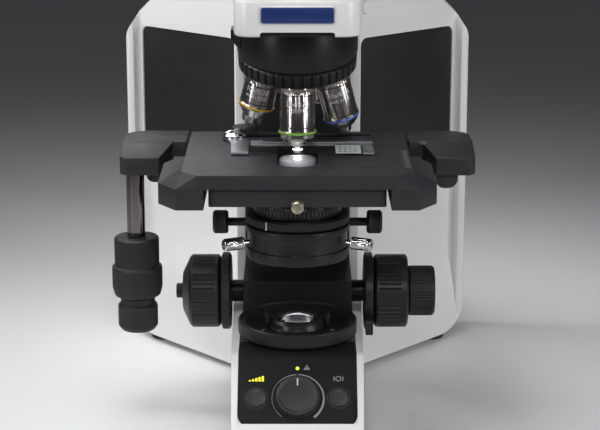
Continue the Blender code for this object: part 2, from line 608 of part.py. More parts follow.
turned("field_lens_mount", [(0, 76.0), (13.4, 76.0), (13.4, 80.6), (17.5, 80.6),
                            (18.6, 79.0), (19.4, 75.0), (37.0, 78.0), (38.6, 77.2),
                            (38.6, 69.0), (0, 69.0)], spec=BLACK, steps=32)
turned("field_lens", [(0, 82.6), (4, 82.2), (8.5, 80.9), (11.6, 79.0), (12.9, 77.4),
                      (12.9, 76.4), (0, 76.4)], spec=GLASS, steps=24)
turned("field_iris_ring", [(40.4, 80.6), (41.4, 79.6), (41.4, 71.0), (40.4, 69.6),
                           (39.0, 69.6), (39.0, 80.6)], spec=BLACK, steps=36)
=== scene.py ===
import json
import math

import bmesh
import bpy
from mathutils import Matrix, Vector


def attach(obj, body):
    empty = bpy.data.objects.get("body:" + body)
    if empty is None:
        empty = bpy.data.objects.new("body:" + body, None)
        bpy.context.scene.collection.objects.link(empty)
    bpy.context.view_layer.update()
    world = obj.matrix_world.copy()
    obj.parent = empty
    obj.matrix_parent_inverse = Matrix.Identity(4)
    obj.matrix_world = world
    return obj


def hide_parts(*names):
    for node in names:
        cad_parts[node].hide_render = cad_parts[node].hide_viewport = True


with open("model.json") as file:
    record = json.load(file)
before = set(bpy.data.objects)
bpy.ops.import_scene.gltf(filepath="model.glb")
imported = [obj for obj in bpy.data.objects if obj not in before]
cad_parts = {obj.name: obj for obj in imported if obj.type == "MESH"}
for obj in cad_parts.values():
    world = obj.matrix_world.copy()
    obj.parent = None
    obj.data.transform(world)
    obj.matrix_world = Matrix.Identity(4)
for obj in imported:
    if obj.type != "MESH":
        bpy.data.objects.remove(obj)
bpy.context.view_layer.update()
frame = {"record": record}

AY = -108.0                      # the optical axis, in mm, in the part's frame
NODE_BODY = {}
for body, members in frame["record"]["behaviour"]["bodies"].items():
    for n in members:
        NODE_BODY[n] = body


def P(x, y, z):
    return Vector((x / 1000.0, (y + AY) / 1000.0, z / 1000.0))


# ============================================================== materials
def nodes_of(name):
    m = bpy.data.materials.new(name)
    m.use_nodes = True
    nt = m.node_tree
    b = nt.nodes["Principled BSDF"]
    return m, nt, b


def link(nt, a, b):
    nt.links.new(a, b)


def surface(name, color, rough, metallic=0.0, var=0.06, vscale=14.0, grain=900.0, bump=0.06,
            depth=0.0002, rvar=0.06, rscale=60.0, coat=0.0, coat_rough=0.1, spec=0.5,
            stretch=None, smudge=0.0, speck=0.0):
    """A Principled surface with tone variation, roughness variation and fine relief."""
    m, nt, b = nodes_of(name)
    N = nt.nodes
    tc = N.new("ShaderNodeTexCoord")
    vec = tc.outputs["Object"]
    if stretch:
        mp = N.new("ShaderNodeMapping")
        mp.inputs["Scale"].default_value = stretch
        link(nt, vec, mp.inputs["Vector"])
        gvec = mp.outputs["Vector"]
    else:
        gvec = vec
    n1 = N.new("ShaderNodeTexNoise")
    n1.inputs["Scale"].default_value = vscale
    n1.inputs["Detail"].default_value = 5.0
    link(nt, vec, n1.inputs["Vector"])
    n2 = N.new("ShaderNodeTexNoise")
    n2.inputs["Scale"].default_value = grain
    n2.inputs["Detail"].default_value = 3.0
    link(nt, gvec, n2.inputs["Vector"])
    # tone: broad variation and a little grain
    mixa = N.new("ShaderNodeMapRange")
    mixa.inputs["From Min"].default_value = 0.3
    mixa.inputs["From Max"].default_value = 0.7
    mixa.inputs["To Min"].default_value = 1.0 - var
    mixa.inputs["To Max"].default_value = 1.0 + var
    link(nt, n1.outputs["Fac"], mixa.inputs["Value"])
    mixb = N.new("ShaderNodeMapRange")
    mixb.inputs["From Min"].default_value = 0.3
    mixb.inputs["From Max"].default_value = 0.7
    mixb.inputs["To Min"].default_value = 1.0 - speck
    mixb.inputs["To Max"].default_value = 1.0 + speck
    link(nt, n2.outputs["Fac"], mixb.inputs["Value"])
    mul = N.new("ShaderNodeMath")
    mul.operation = 'MULTIPLY'
    link(nt, mixa.outputs["Result"], mul.inputs[0])
    link(nt, mixb.outputs["Result"], mul.inputs[1])
    vm = N.new("ShaderNodeVectorMath")
    vm.operation = 'SCALE'
    vm.inputs[0].default_value = color
    link(nt, mul.outputs["Value"], vm.inputs["Scale"])
    link(nt, vm.outputs["Vector"], b.inputs["Base Color"])
    # roughness
    n3 = N.new("ShaderNodeTexNoise")
    n3.inputs["Scale"].default_value = rscale
    n3.inputs["Detail"].default_value = 6.0
    link(nt, vec, n3.inputs["Vector"])
    mr = N.new("ShaderNodeMapRange")
    mr.inputs["From Min"].default_value = 0.3
    mr.inputs["From Max"].default_value = 0.7
    mr.inputs["To Min"].default_value = max(0.02, rough - rvar)
    mr.inputs["To Max"].default_value = min(1.0, rough + rvar + smudge)
    link(nt, n3.outputs["Fac"], mr.inputs["Value"])
    link(nt, mr.outputs["Result"], b.inputs["Roughness"])
    # relief
    bp = N.new("ShaderNodeBump")
    bp.inputs["Strength"].default_value = bump
    bp.inputs["Distance"].default_value = depth
    link(nt, n2.outputs["Fac"], bp.inputs["Height"])
    link(nt, bp.outputs["Normal"], b.inputs["Normal"])
    b.inputs["Metallic"].default_value = metallic
    b.inputs["Specular IOR Level"].default_value = spec
    if coat:
        b.inputs["Coat Weight"].default_value = coat
        b.inputs["Coat Roughness"].default_value = coat_rough
    return m


def glass(name, color=(1, 1, 1), rough=0.02, ior=1.5, tint=None):
    m, nt, b = nodes_of(name)
    N = nt.nodes
    tc = N.new("ShaderNodeTexCoord")
    n = N.new("ShaderNodeTexNoise")
    n.inputs["Scale"].default_value = 180.0
    link(nt, tc.outputs["Object"], n.inputs["Vector"])
    mr = N.new("ShaderNodeMapRange")
    mr.inputs["To Min"].default_value = rough
    mr.inputs["To Max"].default_value = rough + 0.03
    link(nt, n.outputs["Fac"], mr.inputs["Value"])
    link(nt, mr.outputs["Result"], b.inputs["Roughness"])
    b.inputs["Base Color"].default_value = (*color, 1)
    b.inputs["Transmission Weight"].default_value = 1.0
    b.inputs["IOR"].default_value = ior
    return m


def glow(name, color, strength, base=(0.8, 0.8, 0.8)):
    m, nt, b = nodes_of(name)
    N = nt.nodes
    tc = N.new("ShaderNodeTexCoord")
    n = N.new("ShaderNodeTexNoise")
    n.inputs["Scale"].default_value = 300.0
    link(nt, tc.outputs["Object"], n.inputs["Vector"])
    mr = N.new("ShaderNodeMapRange")
    mr.inputs["To Min"].default_value = 0.25
    mr.inputs["To Max"].default_value = 0.35
    link(nt, n.outputs["Fac"], mr.inputs["Value"])
    link(nt, mr.outputs["Result"], b.inputs["Roughness"])
    b.inputs["Base Color"].default_value = (*base, 1)
    b.inputs["Emission Color"].default_value = (*color, 1)
    b.inputs["Emission Strength"].default_value = strength
    return m


M = {
    "white": surface("white_enamel", (0.79, 0.80, 0.79), 0.34, var=0.015, vscale=9, grain=1500,
                     bump=0.05, depth=0.0001, rvar=0.05, coat=0.25, coat_rough=0.18),
    "panel_black": surface("panel_satin", (0.016, 0.0155, 0.017), 0.46, spec=0.28, var=0.10, vscale=6,
                           grain=2600, bump=0.10, depth=0.00012, rvar=0.05, speck=0.10),
    "black": surface("black_anodised", (0.012, 0.012, 0.013), 0.34, spec=0.34, var=0.10, vscale=20,
                     grain=2400, bump=0.08, depth=0.0001, rvar=0.06, speck=0.12),
    "stage": surface("stage_ceramic", (0.026, 0.026, 0.030), 0.47, spec=0.34, var=0.06, vscale=24,
                     grain=3200, bump=0.10, depth=0.0001, rvar=0.05, speck=0.16),
    "plastic": surface("black_moulding", (0.013, 0.013, 0.014), 0.40, spec=0.36, var=0.08, vscale=18,
                       grain=2000, bump=0.16, depth=0.00018, rvar=0.06, speck=0.10),
    "rubber": surface("black_rubber", (0.016, 0.016, 0.017), 0.50, var=0.10, vscale=25,
                      grain=1400, bump=0.18, depth=0.0002, rvar=0.08, speck=0.08, spec=0.36),
    "panel": surface("control_grey", (0.014, 0.014, 0.016), 0.52, spec=0.14, var=0.05, vscale=16,
                     grain=2600, bump=0.14, depth=0.00015, rvar=0.05, speck=0.12),
    "button": surface("button_grey", (0.034, 0.034, 0.038), 0.42, spec=0.36, var=0.05, vscale=30,
                      grain=2200, bump=0.10, depth=0.0001, rvar=0.05),
    "dial": surface("dial_grey", (0.028, 0.028, 0.031), 0.36, spec=0.4, var=0.06, vscale=30,
                    grain=2200, bump=0.10, depth=0.0001, rvar=0.06),
    "chrome": surface("polished_chrome", (0.62, 0.62, 0.64), 0.14, metallic=1.0, var=0.03,
                      vscale=50, grain=1200, bump=0.02, depth=0.0001, rvar=0.03),
    "nickel": surface("satin_nickel", (0.56, 0.52, 0.50), 0.17, metallic=1.0, var=0.05,
                      vscale=40, grain=1800, bump=0.06, depth=0.00008, rvar=0.05,
                      stretch=(0.05, 0.05, 1.0)),
    "nickel_dark": surface("dark_nickel", (0.22, 0.21, 0.21), 0.24, metallic=1.0, var=0.06,
                           vscale=40, grain=1800, bump=0.06, depth=0.00008, rvar=0.05,
                           stretch=(0.05, 0.05, 1.0)),
    "sleeve": surface("dark_chrome", (0.20, 0.18, 0.17), 0.14, metallic=1.0, var=0.04, vscale=50,
                      grain=1200, bump=0.03, depth=0.0001, rvar=0.03),
    "brass": surface("satin_brass", (0.60, 0.56, 0.44), 0.30, metallic=1.0, var=0.08, vscale=80,
                     grain=1600, bump=0.08, depth=0.0001, rvar=0.06),
    "steel": surface("brushed_steel", (0.42, 0.43, 0.44), 0.32, metallic=1.0, var=0.06,
                     vscale=40, grain=2200, bump=0.08, depth=0.0001, rvar=0.08,
                     stretch=(0.04, 1.0, 1.0)),
    "holder": surface("holder_silver", (0.30, 0.31, 0.33), 0.36, metallic=0.9, var=0.06,
                      vscale=40, grain=2200, bump=0.08, depth=0.0001, rvar=0.06),
    "green": surface("ring_green", (0.20, 0.50, 0.03), 0.35, var=0.04, vscale=60, rvar=0.04),
    "yellow": surface("ring_yellow", (0.75, 0.42, 0.01), 0.35, var=0.04, vscale=60, rvar=0.04),
    "blue": surface("ring_blue", (0.05, 0.16, 0.62), 0.35, var=0.04, vscale=60, rvar=0.04),
    "red": surface("ring_red", (0.55, 0.03, 0.02), 0.35, var=0.04, vscale=60, rvar=0.04),
    "ringwhite": surface("ring_white", (0.75, 0.75, 0.73), 0.35, var=0.04, vscale=60, rvar=0.04),
    "ink": surface("white_ink", (0.62, 0.62, 0.62), 0.5, var=0.05, vscale=200, rvar=0.05),
    "ink_dim": surface("grey_ink", (0.26, 0.26, 0.27), 0.5, var=0.05, vscale=200, rvar=0.05),
    "arc_grey": surface("arc_grey", (0.30, 0.30, 0.31), 0.5, var=0.05, vscale=200, rvar=0.05),
    "ink_black": surface("black_fill", (0.015, 0.013, 0.012), 0.5, var=0.05, vscale=200,
                         rvar=0.05),
    "ink_yellow": glow("lit_yellow", (0.80, 0.72, 0.03), 0.9, base=(0.7, 0.6, 0.02)),
    "led": glow("lit_lamp", (0.80, 0.85, 0.06), 1.6, base=(0.5, 0.5, 0.05)),
    "badge": surface("badge_blue", (0.012, 0.035, 0.16), 0.30, var=0.04, vscale=90, rvar=0.05,
                     coat=0.4),
    "badge_rim": surface("badge_rim", (0.72, 0.73, 0.75), 0.30, metallic=0.6, var=0.03,
                         vscale=90, rvar=0.04),
    "lens": glass("lens_glass", (0.93, 0.96, 1.0), 0.01, 1.52),
    "slide_glass": glass("slide_glass", (0.93, 0.97, 0.96), 0.01, 1.46),
    # painted light: the condenser's glass top lens is an opaque near-white surface, standing in for the lamp light
    # shining up through it
    "lens_painted_lit": surface("painted_lit_condenser_lens", (0.90, 0.90, 0.96), 0.22, var=0.03, vscale=60,
                         rvar=0.03, coat=0.6, coat_rough=0.05),
    "label": surface("slide_label", (0.72, 0.76, 0.74), 0.6, var=0.03, vscale=120, rvar=0.04,
                     grain=2500, speck=0.06),
    "label_green": surface("label_green", (0.30, 0.52, 0.36), 0.6, var=0.05, vscale=120,
                           rvar=0.04),
    "mirror": surface("mirror_inside", (0.75, 0.77, 0.80), 0.06, metallic=1.0, var=0.02,
                      vscale=40, rvar=0.02),
    "socket": surface("socket_black", (0.015, 0.015, 0.016), 0.55, var=0.08, vscale=40,
                      grain=1800, bump=0.10),
}


# ============================================================== mesh tools
def clean_mesh(me, angle=35.0):
    bm = bmesh.new()
    bm.from_mesh(me)
    bmesh.ops.remove_doubles(bm, verts=bm.verts, dist=2e-7)
    bmesh.ops.recalc_face_normals(bm, faces=bm.faces)
    bm.to_mesh(me)
    bm.free()
    me.shade_smooth()
    me.set_sharp_from_angle(angle=math.radians(angle))


def to_obj(name, me, mat=None):
    o = bpy.data.objects.new(name, me)
    bpy.context.scene.collection.objects.link(o)
    if mat:
        me.materials.clear()
        me.materials.append(M[mat])
    return o


def apply_mods(o, angle=35.0):
    bpy.context.view_layer.update()
    dg = bpy.context.evaluated_depsgraph_get()
    me = bpy.data.meshes.new_from_object(o.evaluated_get(dg))
    mats = list(o.data.materials)
    o.modifiers.clear()
    old = o.data
    o.data = me
    if old.users == 0:
        bpy.data.meshes.remove(old)
    if not me.materials:
        for m in mats:
            me.materials.append(m)
    clean_mesh(me, angle)
    return o


def fillets(points, closed=True, n=4):
    """Corners given as (x, y, r) are rounded by r."""
    out = []
    cnt = len(points)
    for i, p in enumerate(points):
        x, y = p[0], p[1]
        r = p[2] if len(p) > 2 else 0.0
        if r <= 0 or (not closed and i in (0, cnt - 1)):
            out.append((x, y))
            continue
        a = Vector(points[i - 1][:2]) - Vector((x, y))
        b = Vector(points[(i + 1) % cnt][:2]) - Vector((x, y))
        la, lb = a.length, b.length
        a.normalize()
        b.normalize()
        half = math.acos(max(-1, min(1, a.dot(b)))) / 2
        if half > 1.55:
            out.append((x, y))
            continue
        t = min(r / math.tan(half), 0.49 * la, 0.49 * lb)
        r = t * math.tan(half)
        p0 = Vector((x, y)) + a * t
        p1 = Vector((x, y)) + b * t
        c = Vector((x, y)) + (a + b).normalized() * (r / math.sin(half))
        a0 = math.atan2(p0.y - c.y, p0.x - c.x)
        a1 = math.atan2(p1.y - c.y, p1.x - c.x)
        d = (a1 - a0 + math.pi) % (2 * math.pi) - math.pi
        for k in range(n + 1):
            g = a0 + d * k / n
            out.append((c.x + r * math.cos(g), c.y + r * math.sin(g)))
    return out


AXES = {
    'Z': Matrix(((1, 0, 0), (0, 1, 0), (0, 0, 1))),
    'X': Matrix(((0, 0, 1), (1, 0, 0), (0, 1, 0))),      # outline is (Y, Z)
    'Y': Matrix(((1, 0, 0), (0, 0, -1), (0, 1, 0))),     # outline is (X, Z), height along -Y
}


def prism(name, outline, lo, hi, axis='Z', mat=None, bevel=0.0, seg=3, frame_m=None, ang=40,
          corner_n=5):
    """A flat outline with rounded corners, made thick from lo to hi."""
    pts = fillets(outline, n=corner_n)
    bm = bmesh.new()
    if axis == 'Y' and frame_m is None:
        lo, hi = -hi, -lo
    vs = [bm.verts.new((x / 1000, y / 1000, lo / 1000)) for x, y in pts]
    f = bm.faces.new(vs)
    ext = bmesh.ops.extrude_face_region(bm, geom=[f])
    top = [v for v in ext["geom"] if isinstance(v, bmesh.types.BMVert)]
    bmesh.ops.translate(bm, verts=top, vec=(0, 0, (hi - lo) / 1000))
    bmesh.ops.recalc_face_normals(bm, faces=bm.faces)
    me = bpy.data.meshes.new(name)
    bm.to_mesh(me)
    bm.free()
    if frame_m is None:
        me.transform(Matrix.Translation(P(0, 0, 0)) @ AXES[axis].to_4x4())
    else:
        me.transform(frame_m)
    o = to_obj(name, me, mat)
    if bevel:
        round_edges(o, bevel, seg, ang)
    else:
        clean_mesh(me)
    return o


def round_edges(o, width, seg=3, ang=40, clamp=True, smooth=35.0):
    md = o.modifiers.new("b", 'BEVEL')
    md.width = width / 1000.0
    md.segments = seg
    md.limit_method = 'ANGLE'
    md.angle_limit = math.radians(ang)
    md.use_clamp_overlap = clamp
    md.harden_normals = False
    md.miter_outer = 'MITER_ARC'
    apply_mods(o, smooth)
    return o


def box3(name, x0, x1, y0, y1, z0, z1, mat=None, bevel=0.0, seg=3):
    return prism(name, [(x0, y0), (x1, y0), (x1, y1), (x0, y1)], z0, z1, 'Z', mat, bevel, seg)


def hull3(name, pts, mat=None, bevel=0.0, seg=3):
    bm = bmesh.new()
    for p in pts:
        bm.verts.new(P(*p))
    bmesh.ops.convex_hull(bm, input=bm.verts)
    bmesh.ops.delete(bm, geom=[v for v in bm.verts if not v.link_faces], context='VERTS')
    bmesh.ops.dissolve_limit(bm, angle_limit=1e-3, verts=bm.verts, edges=bm.edges)
    bmesh.ops.recalc_face_normals(bm, faces=bm.faces)
    me = bpy.data.meshes.new(name)
    bm.to_mesh(me)
    bm.free()
    o = to_obj(name, me, mat)
    if bevel:
        round_edges(o, bevel, seg)
    return o


def boolean(o, cutter, op='DIFFERENCE', keep=False, dissolve=True):
    md = o.modifiers.new("x", 'BOOLEAN')
    md.operation = op
    md.solver = 'EXACT'
    md.object = cutter
    apply_mods(o)
    if dissolve:
        bm = bmesh.new()
        bm.from_mesh(o.data)
        bmesh.ops.dissolve_limit(bm, angle_limit=1e-4, verts=bm.verts, edges=bm.edges)
        bm.to_mesh(o.data)
        bm.free()
    if not keep:
        bpy.data.objects.remove(cutter, do_unlink=True)
    return o


def frame_at(o, d, x=None):
    """Local +Z along d, from drawing point o; local +X near x if it is given."""
    z = Vector(d).normalized()
    if x is None:
        x = Vector((1, 0, 0)) if abs(z.x) < 0.9 else Vector((0, 1, 0))
    x = Vector(x)
    x = (x - z * x.dot(z)).normalized()
    y = z.cross(x)
    r = Matrix((x, y, z)).transposed().to_4x4()
    return Matrix.Translation(P(*o)) @ r


def saw(t):
    return abs((t % 1.0) - 0.5) * 2.0


def groove(duty=0.3, soft=0.12):
    """1 in a groove, 0 on the land between grooves."""
    def f(t):
        t = t % 1.0
        d = abs(t - 0.5)
        h = duty / 2
        if d <= h - soft / 2:
            return 1.0
        if d >= h + soft / 2:
            return 0.0
        return (h + soft / 2 - d) / soft
    return f


def lathe(name, prof, o=(0, 0, 0), d=(0, 0, 1), mat=None, seg=72, ribs=(), n=4, angle=38.0,
          x=None, local=True):
    """A turned piece: (r, h[, fillet]) from the top of the axis, down the outer side, to the
    bottom of the axis, or round a ring. ribs lists (h_low, h_high, count, depth, shape)."""
    ring = prof[0][0] > 1e-6
    pts = fillets(prof, closed=ring, n=n)
    if ribs:
        hs = sorted({h for rb in ribs for h in (rb[0], rb[0] + 0.12, rb[1], rb[1] - 0.12)})
        fine = []
        m = len(pts)
        for i in range(m if ring else m - 1):
            a, b = pts[i], pts[(i + 1) % m]
            fine.append(a)
            cuts = [h for h in hs if min(a[1], b[1]) + 1e-6 < h < max(a[1], b[1]) - 1e-6]
            cuts.sort(reverse=a[1] > b[1])
            for h in cuts:
                t = (h - a[1]) / (b[1] - a[1])
                fine.append((a[0] + (b[0] - a[0]) * t, h))
        if not ring:
            fine.append(pts[-1])
        pts = fine
        rmax = max(p[0] for p in pts)
        seg = max(seg, max(rb[2] * (rb[5] if len(rb) > 5 else 6) for rb in ribs))
    bm = bmesh.new()
    rows = []
    for r, h in pts:
        if r < 1e-6:
            rows.append([bm.verts.new((0, 0, h / 1000))])
            continue
        row = []
        for k in range(seg):
            th = 2 * math.pi * k / seg
            rr = r
            for rb in ribs:
                if rb[0] + 0.06 <= h <= rb[1] - 0.06 and r > 0.6 * rmax:
                    rr = r - rb[3] * rb[4](th / (2 * math.pi) * rb[2])
            row.append(bm.verts.new((rr / 1000 * math.cos(th), rr / 1000 * math.sin(th), h / 1000)))
        rows.append(row)
    pairs = list(zip(rows, rows[1:]))
    if ring:
        pairs.append((rows[-1], rows[0]))
    for a, b in pairs:
        if len(a) == 1 and len(b) == 1:
            continue
        for k in range(seg):
            k2 = (k + 1) % seg
            if len(a) == 1:
                bm.faces.new((a[0], b[k], b[k2]))
            elif len(b) == 1:
                bm.faces.new((a[k], b[0], a[k2]))
            else:
                bm.faces.new((a[k], b[k], b[k2], a[k2]))
    bmesh.ops.recalc_face_normals(bm, faces=bm.faces)
    me = bpy.data.meshes.new(name)
    bm.to_mesh(me)
    bm.free()
    me.shade_smooth()
    me.set_sharp_from_angle(angle=math.radians(angle))
    ob = to_obj(name, me, mat)
    m4 = frame_at(o, d, x)
    if local:
        ob.matrix_world = m4
    else:
        me.transform(m4)
    return ob


def merge(name, objs):
    """Several shapes as one piece, each keeping its material."""
    bm = bmesh.new()
    mats = []
    for ob in objs:
        me = ob.data.copy()
        me.transform(ob.matrix_world)
        idx = {}
        for i, m in enumerate(me.materials):
            if m not in mats:
                mats.append(m)
            idx[i] = mats.index(m)
        for p in me.polygons:
            p.material_index = idx.get(p.material_index, 0)
        bm.from_mesh(me)
        bpy.data.meshes.remove(me)
        bpy.data.objects.remove(ob, do_unlink=True)
    me = bpy.data.meshes.new(name)
    bm.to_mesh(me)
    bm.free()
    for m in mats:
        me.materials.append(m)
    me.set_sharp_from_angle(angle=math.radians(38))
    return to_obj(name, me)


def stand_in(ob, node, *more):
    """ob is the finished piece for one or more CAD nodes."""
    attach(ob, NODE_BODY[node])
    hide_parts(node, *more)
    return ob


def extra(ob, node):
    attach(ob, NODE_BODY[node])
    return ob


def tri_text(name, body, size, mat, thick=0.06):
    """Numbers as thin raised geometry, centred on the local origin in the XY plane."""
    cu = bpy.data.curves.new(name, 'FONT')
    cu.body = body
    cu.size = size / 1000.0
    cu.align_x = 'CENTER'
    cu.align_y = 'CENTER'
    cu.extrude = thick / 2000.0
    cu.resolution_u = 3
    tmp = bpy.data.objects.new(name + "_t", cu)
    bpy.context.scene.collection.objects.link(tmp)
    bpy.context.view_layer.update()
    me = bpy.data.meshes.new_from_object(tmp.evaluated_get(bpy.context.evaluated_depsgraph_get()))
    bpy.data.objects.remove(tmp, do_unlink=True)
    o = to_obj(name, me, mat)
    clean_mesh(me)
    return o


def wrap_on(ob, r, frame_m, z=0.0, turn=0.0, outward=0.0):
    """Wraps flat shapes (local X along the circumference, Y up) round a cylinder whose axis is
    the frame's +Z. r in mm."""
    me = ob.data
    # cut long faces so that they can bend
    bm = bmesh.new()
    bm.from_mesh(me)
    for _ in range(2):
        edges = [e for e in bm.edges if e.calc_length() > 0.0016]
        if not edges:
            break
        bmesh.ops.subdivide_edges(bm, edges=edges, cuts=1, use_grid_fill=False)
        bmesh.ops.triangulate(bm, faces=[f for f in bm.faces if len(f.verts) > 4])
    for v in bm.verts:
        a = v.co.x / (r / 1000.0) + turn
        rr = r / 1000.0 + v.co.z + outward / 1000.0
        v.co = Vector((rr * math.cos(a), rr * math.sin(a), v.co.y + z / 1000.0))
    bm.to_mesh(me)
    bm.free()
    ob.matrix_world = frame_m
    return ob


def screw_head(name, o, d, r=2.6, mat="steel", h=1.1):
    """A socket cap screw head."""
    s = lathe(name, [(0, h * 0.35), (r * 0.5, h * 0.35), (r * 0.5, h), (r, h, r * 0.2), (r, 0),
                     (0, 0)], o, d, mat, seg=36, n=3)
    return s


# ============================================================== camera, light, floor
cam_data = bpy.data.cameras.new("camera")
cam_data.sensor_width = 36.0
cam_data.lens = 108.0
cam_data.shift_x = 0.0042
cam_data.clip_start = 0.05
cam_data.clip_end = 50
cam = bpy.data.objects.new("camera", cam_data)
bpy.context.scene.collection.objects.link(cam)
cam.location = P(0, -1205, 459)
cam.rotation_euler = (math.radians(90 - 14.2), 0, 0)
bpy.context.scene.camera = cam


def area(name, loc, target, size, power, color=(1, 1, 1), size_y=None):
    li = bpy.data.lights.new(name, 'AREA')
    li.energy = power
    li.color = color
    li.shape = 'RECTANGLE' if size_y else 'SQUARE'
    li.size = size
    if size_y:
        li.size_y = size_y
    o = bpy.data.objects.new(name, li)
    bpy.context.scene.collection.objects.link(o)
    o.location = loc
    o.rotation_euler = (Vector(target) - Vector(loc)).to_track_quat('-Z', 'Y').to_euler()
    return o


bpy.context.scene.view_settings.view_transform = 'Standard'
key = area("key_left", (-0.95, -0.50, 0.95), (-0.05, -0.12, 0.10), 0.45, 0.24, (1.0, 0.995, 0.985), 0.8)
key.data.spread = math.radians(80)
fill = area("fill_right", (1.0, -0.55, 0.65), (0, 0, 0.15), 0.25, 0.95, (0.97, 0.985, 1.0), 0.7)
fill.data.spread = math.radians(90)
top = area("top", (-0.22, -0.10, 1.02), (-0.12, -0.06, 0), 0.6, 2.25, (1, 1, 1))
top.data.spread = math.radians(100)
low = area("front_low", (0.0, -1.25, 0.8), (0, -0.25, 0.0), 0.5, 0.55, (0.98, 0.99, 1.0), 0.25)
low.data.spread = math.radians(70)
for sx, pw in ((-1, 0.38), (1, 0.34)):
    strip = area("strip_%s" % ("left" if sx < 0 else "right"), (sx * 0.78, -0.74, 0.42), (0, -0.10, 0.24), 0.05, pw,
                 (1.0, 0.99, 0.98), 0.6)
    strip.data.spread = math.radians(60)
hoop = area("hoop_left", (-0.75, 0.10, 0.95), (-0.10, 0.10, 0.27), 0.4, 0.40, (1.0, 1.0, 0.99))
hoop.data.spread = math.radians(40)
back = area("back", (-0.40, 1.15, 1.05), (0, -0.05, 0.2), 0.7, 0.28, (0.98, 0.99, 1.0), 0.6)
back.data.spread = math.radians(45)

world = bpy.data.worlds.new("studio")
bpy.context.scene.world = world
world.use_nodes = True
world.node_tree.nodes["Background"].inputs["Color"].default_value = (0.80, 0.82, 0.86, 1)
world.node_tree.nodes["Background"].inputs["Strength"].default_value = 0.055

floor_me = bpy.data.meshes.new("floor")
bm = bmesh.new()
bmesh.ops.create_grid(bm, x_segments=8, y_segments=8, size=9.0)
bm.to_mesh(floor_me)
bm.free()
floor = bpy.data.objects.new("floor", floor_me)
bpy.context.scene.collection.objects.link(floor)
fm = surface("floor_pale", (0.74, 0.745, 0.76), 0.5, var=0.01, vscale=1.0, grain=300,
             bump=0.01, rvar=0.03, rscale=5)
floor_me.materials.append(fm)
floor.location = (0, 0, 0)

# ============================================================== stand
BASE_TOP, PANEL_TOP, FOOT_Z = 68.6, 68.0, 5.0
BASE_JOIN = 112.0
SN = Vector((0, -1, 1)).normalized()


def slope(y, up=0.0):
    return 113.0 + y + up


def on_slope(x, y, out=0.0):
    return (x, y + out * SN.y, slope(y) + out * SN.z)


# base casting
side = [(-105.0, 5.0, 4), (111.6, 5.0), (111.6, BASE_TOP), (-44.4, BASE_TOP, 10), (-105.0, 12.0, 14)]
base = prism("base_shell", side, -60, 60, 'X', "white")
plan = [(-43.6, -105.0, 16), (43.6, -105.0, 16), (47.8, 90.0), (48.1, 140.0), (-48.1, 140.0),
        (-47.8, 90.0)]
boolean(base, prism("c", plan, -5, 90, 'Z'), 'INTERSECT')
round_edges(base, 2.2, 3, 40)
recess = [(-83.2, slope(-83.2, -3.6)), (-44.2, 64.2), (130.0, 64.2), (130.0, 90.0),
          (-60.0, 90.0), (-83.2, 50.0)]
rc = prism("c", recess, -40.15, 40.15, 'X')
boolean(base, rc)
boolean(base, prism("c", [(-44.0, 0.0), (104.0, 0.0), (104.0, 56.0), (-38.0, 56.0),
                          (-44.0, 50.0)], -37, 37, 'X'))
for bx in (-27.5, 27.5):
    boolean(base, lathe("c", [(0, 3), (7.4, 3), (7.4, -8), (0, -8)], on_slope(bx, -68), SN,
                        seg=40, local=False))
stand_in(base, "base_casting")

# control panel: rounded lower corners, folded over the top of the slope
cp_side = [(-82.8, slope(-82.8)), (-45.0, PANEL_TOP, 9), (49.4, PANEL_TOP), (49.4, 65.0),
           (-43.8, 65.0, 7), (-82.8, slope(-82.8, -3.0))]
cpanel = prism("control_cover", cp_side, -39.8, 39.8, 'X', "panel", corner_n=8)
slope_frame = frame_at(on_slope(0, -82.8), SN, (1, 0, 0))
corner = prism("c", [(-39.8, 0.0, 9), (39.8, 0.0, 9), (39.8, 400.0), (-39.8, 400.0)], -20, 300,
               frame_m=slope_frame, corner_n=8)
boolean(cpanel, corner, 'INTERSECT')
round_edges(cpanel, 0.7, 2, 40)
for bx in (-27.5, 27.5):
    boolean(cpanel, lathe("c", [(0, 5), (7.1, 5), (7.1, -9), (0, -9)], on_slope(bx, -68), SN,
                          seg=48, local=False))
stand_in(cpanel, "control_panel")
# white fillers that round the lower corners of the panel's recess
for s, tag in ((-1, "left"), (1, "right")):
    pts = [(s * 40.1, 0.0)]
    for k in range(9):
        a = math.radians(90 * k / 8)
        pts.append((s * (31.2 + 8.9 * math.cos(a)), 8.9 - 8.9 * math.sin(a) - 0.3))
    f = prism("panel_corner_" + tag, pts if s > 0 else list(reversed(pts)), -3.5, 0.3,
              frame_m=slope_frame, mat="white")
    extra(f, "base_casting")

# dial
dial = lathe("light_dial", [(0, 4.0), (11.8, 4.3, 1.0), (12.9, 4.9, 0.4), (14.1, 4.8, 0.4),
                            (14.6, 4.0, 0.4), (15.1, 1.2, 0.4), (15.4, 0.4), (0, 0.4)],
             on_slope(0, -68), SN, "dial", seg=120, x=(1, 0, 0),
             ribs=[(1.4, 4.5, 48, 0.6, groove(0.35, 0.15), 8)])
stand_in(dial, "intensity_dial")
fr = frame_at(on_slope(0, -68), SN, (1, 0, 0))
mark = prism("dial_mark", [(-0.45, 7.2, 0.3), (0.45, 7.2, 0.3), (0.45, 12.4, 0.3), (-0.45, 12.4, 0.3)],
             4.1, 4.62, frame_m=fr, mat="ink")
extra(mark, "intensity_dial")
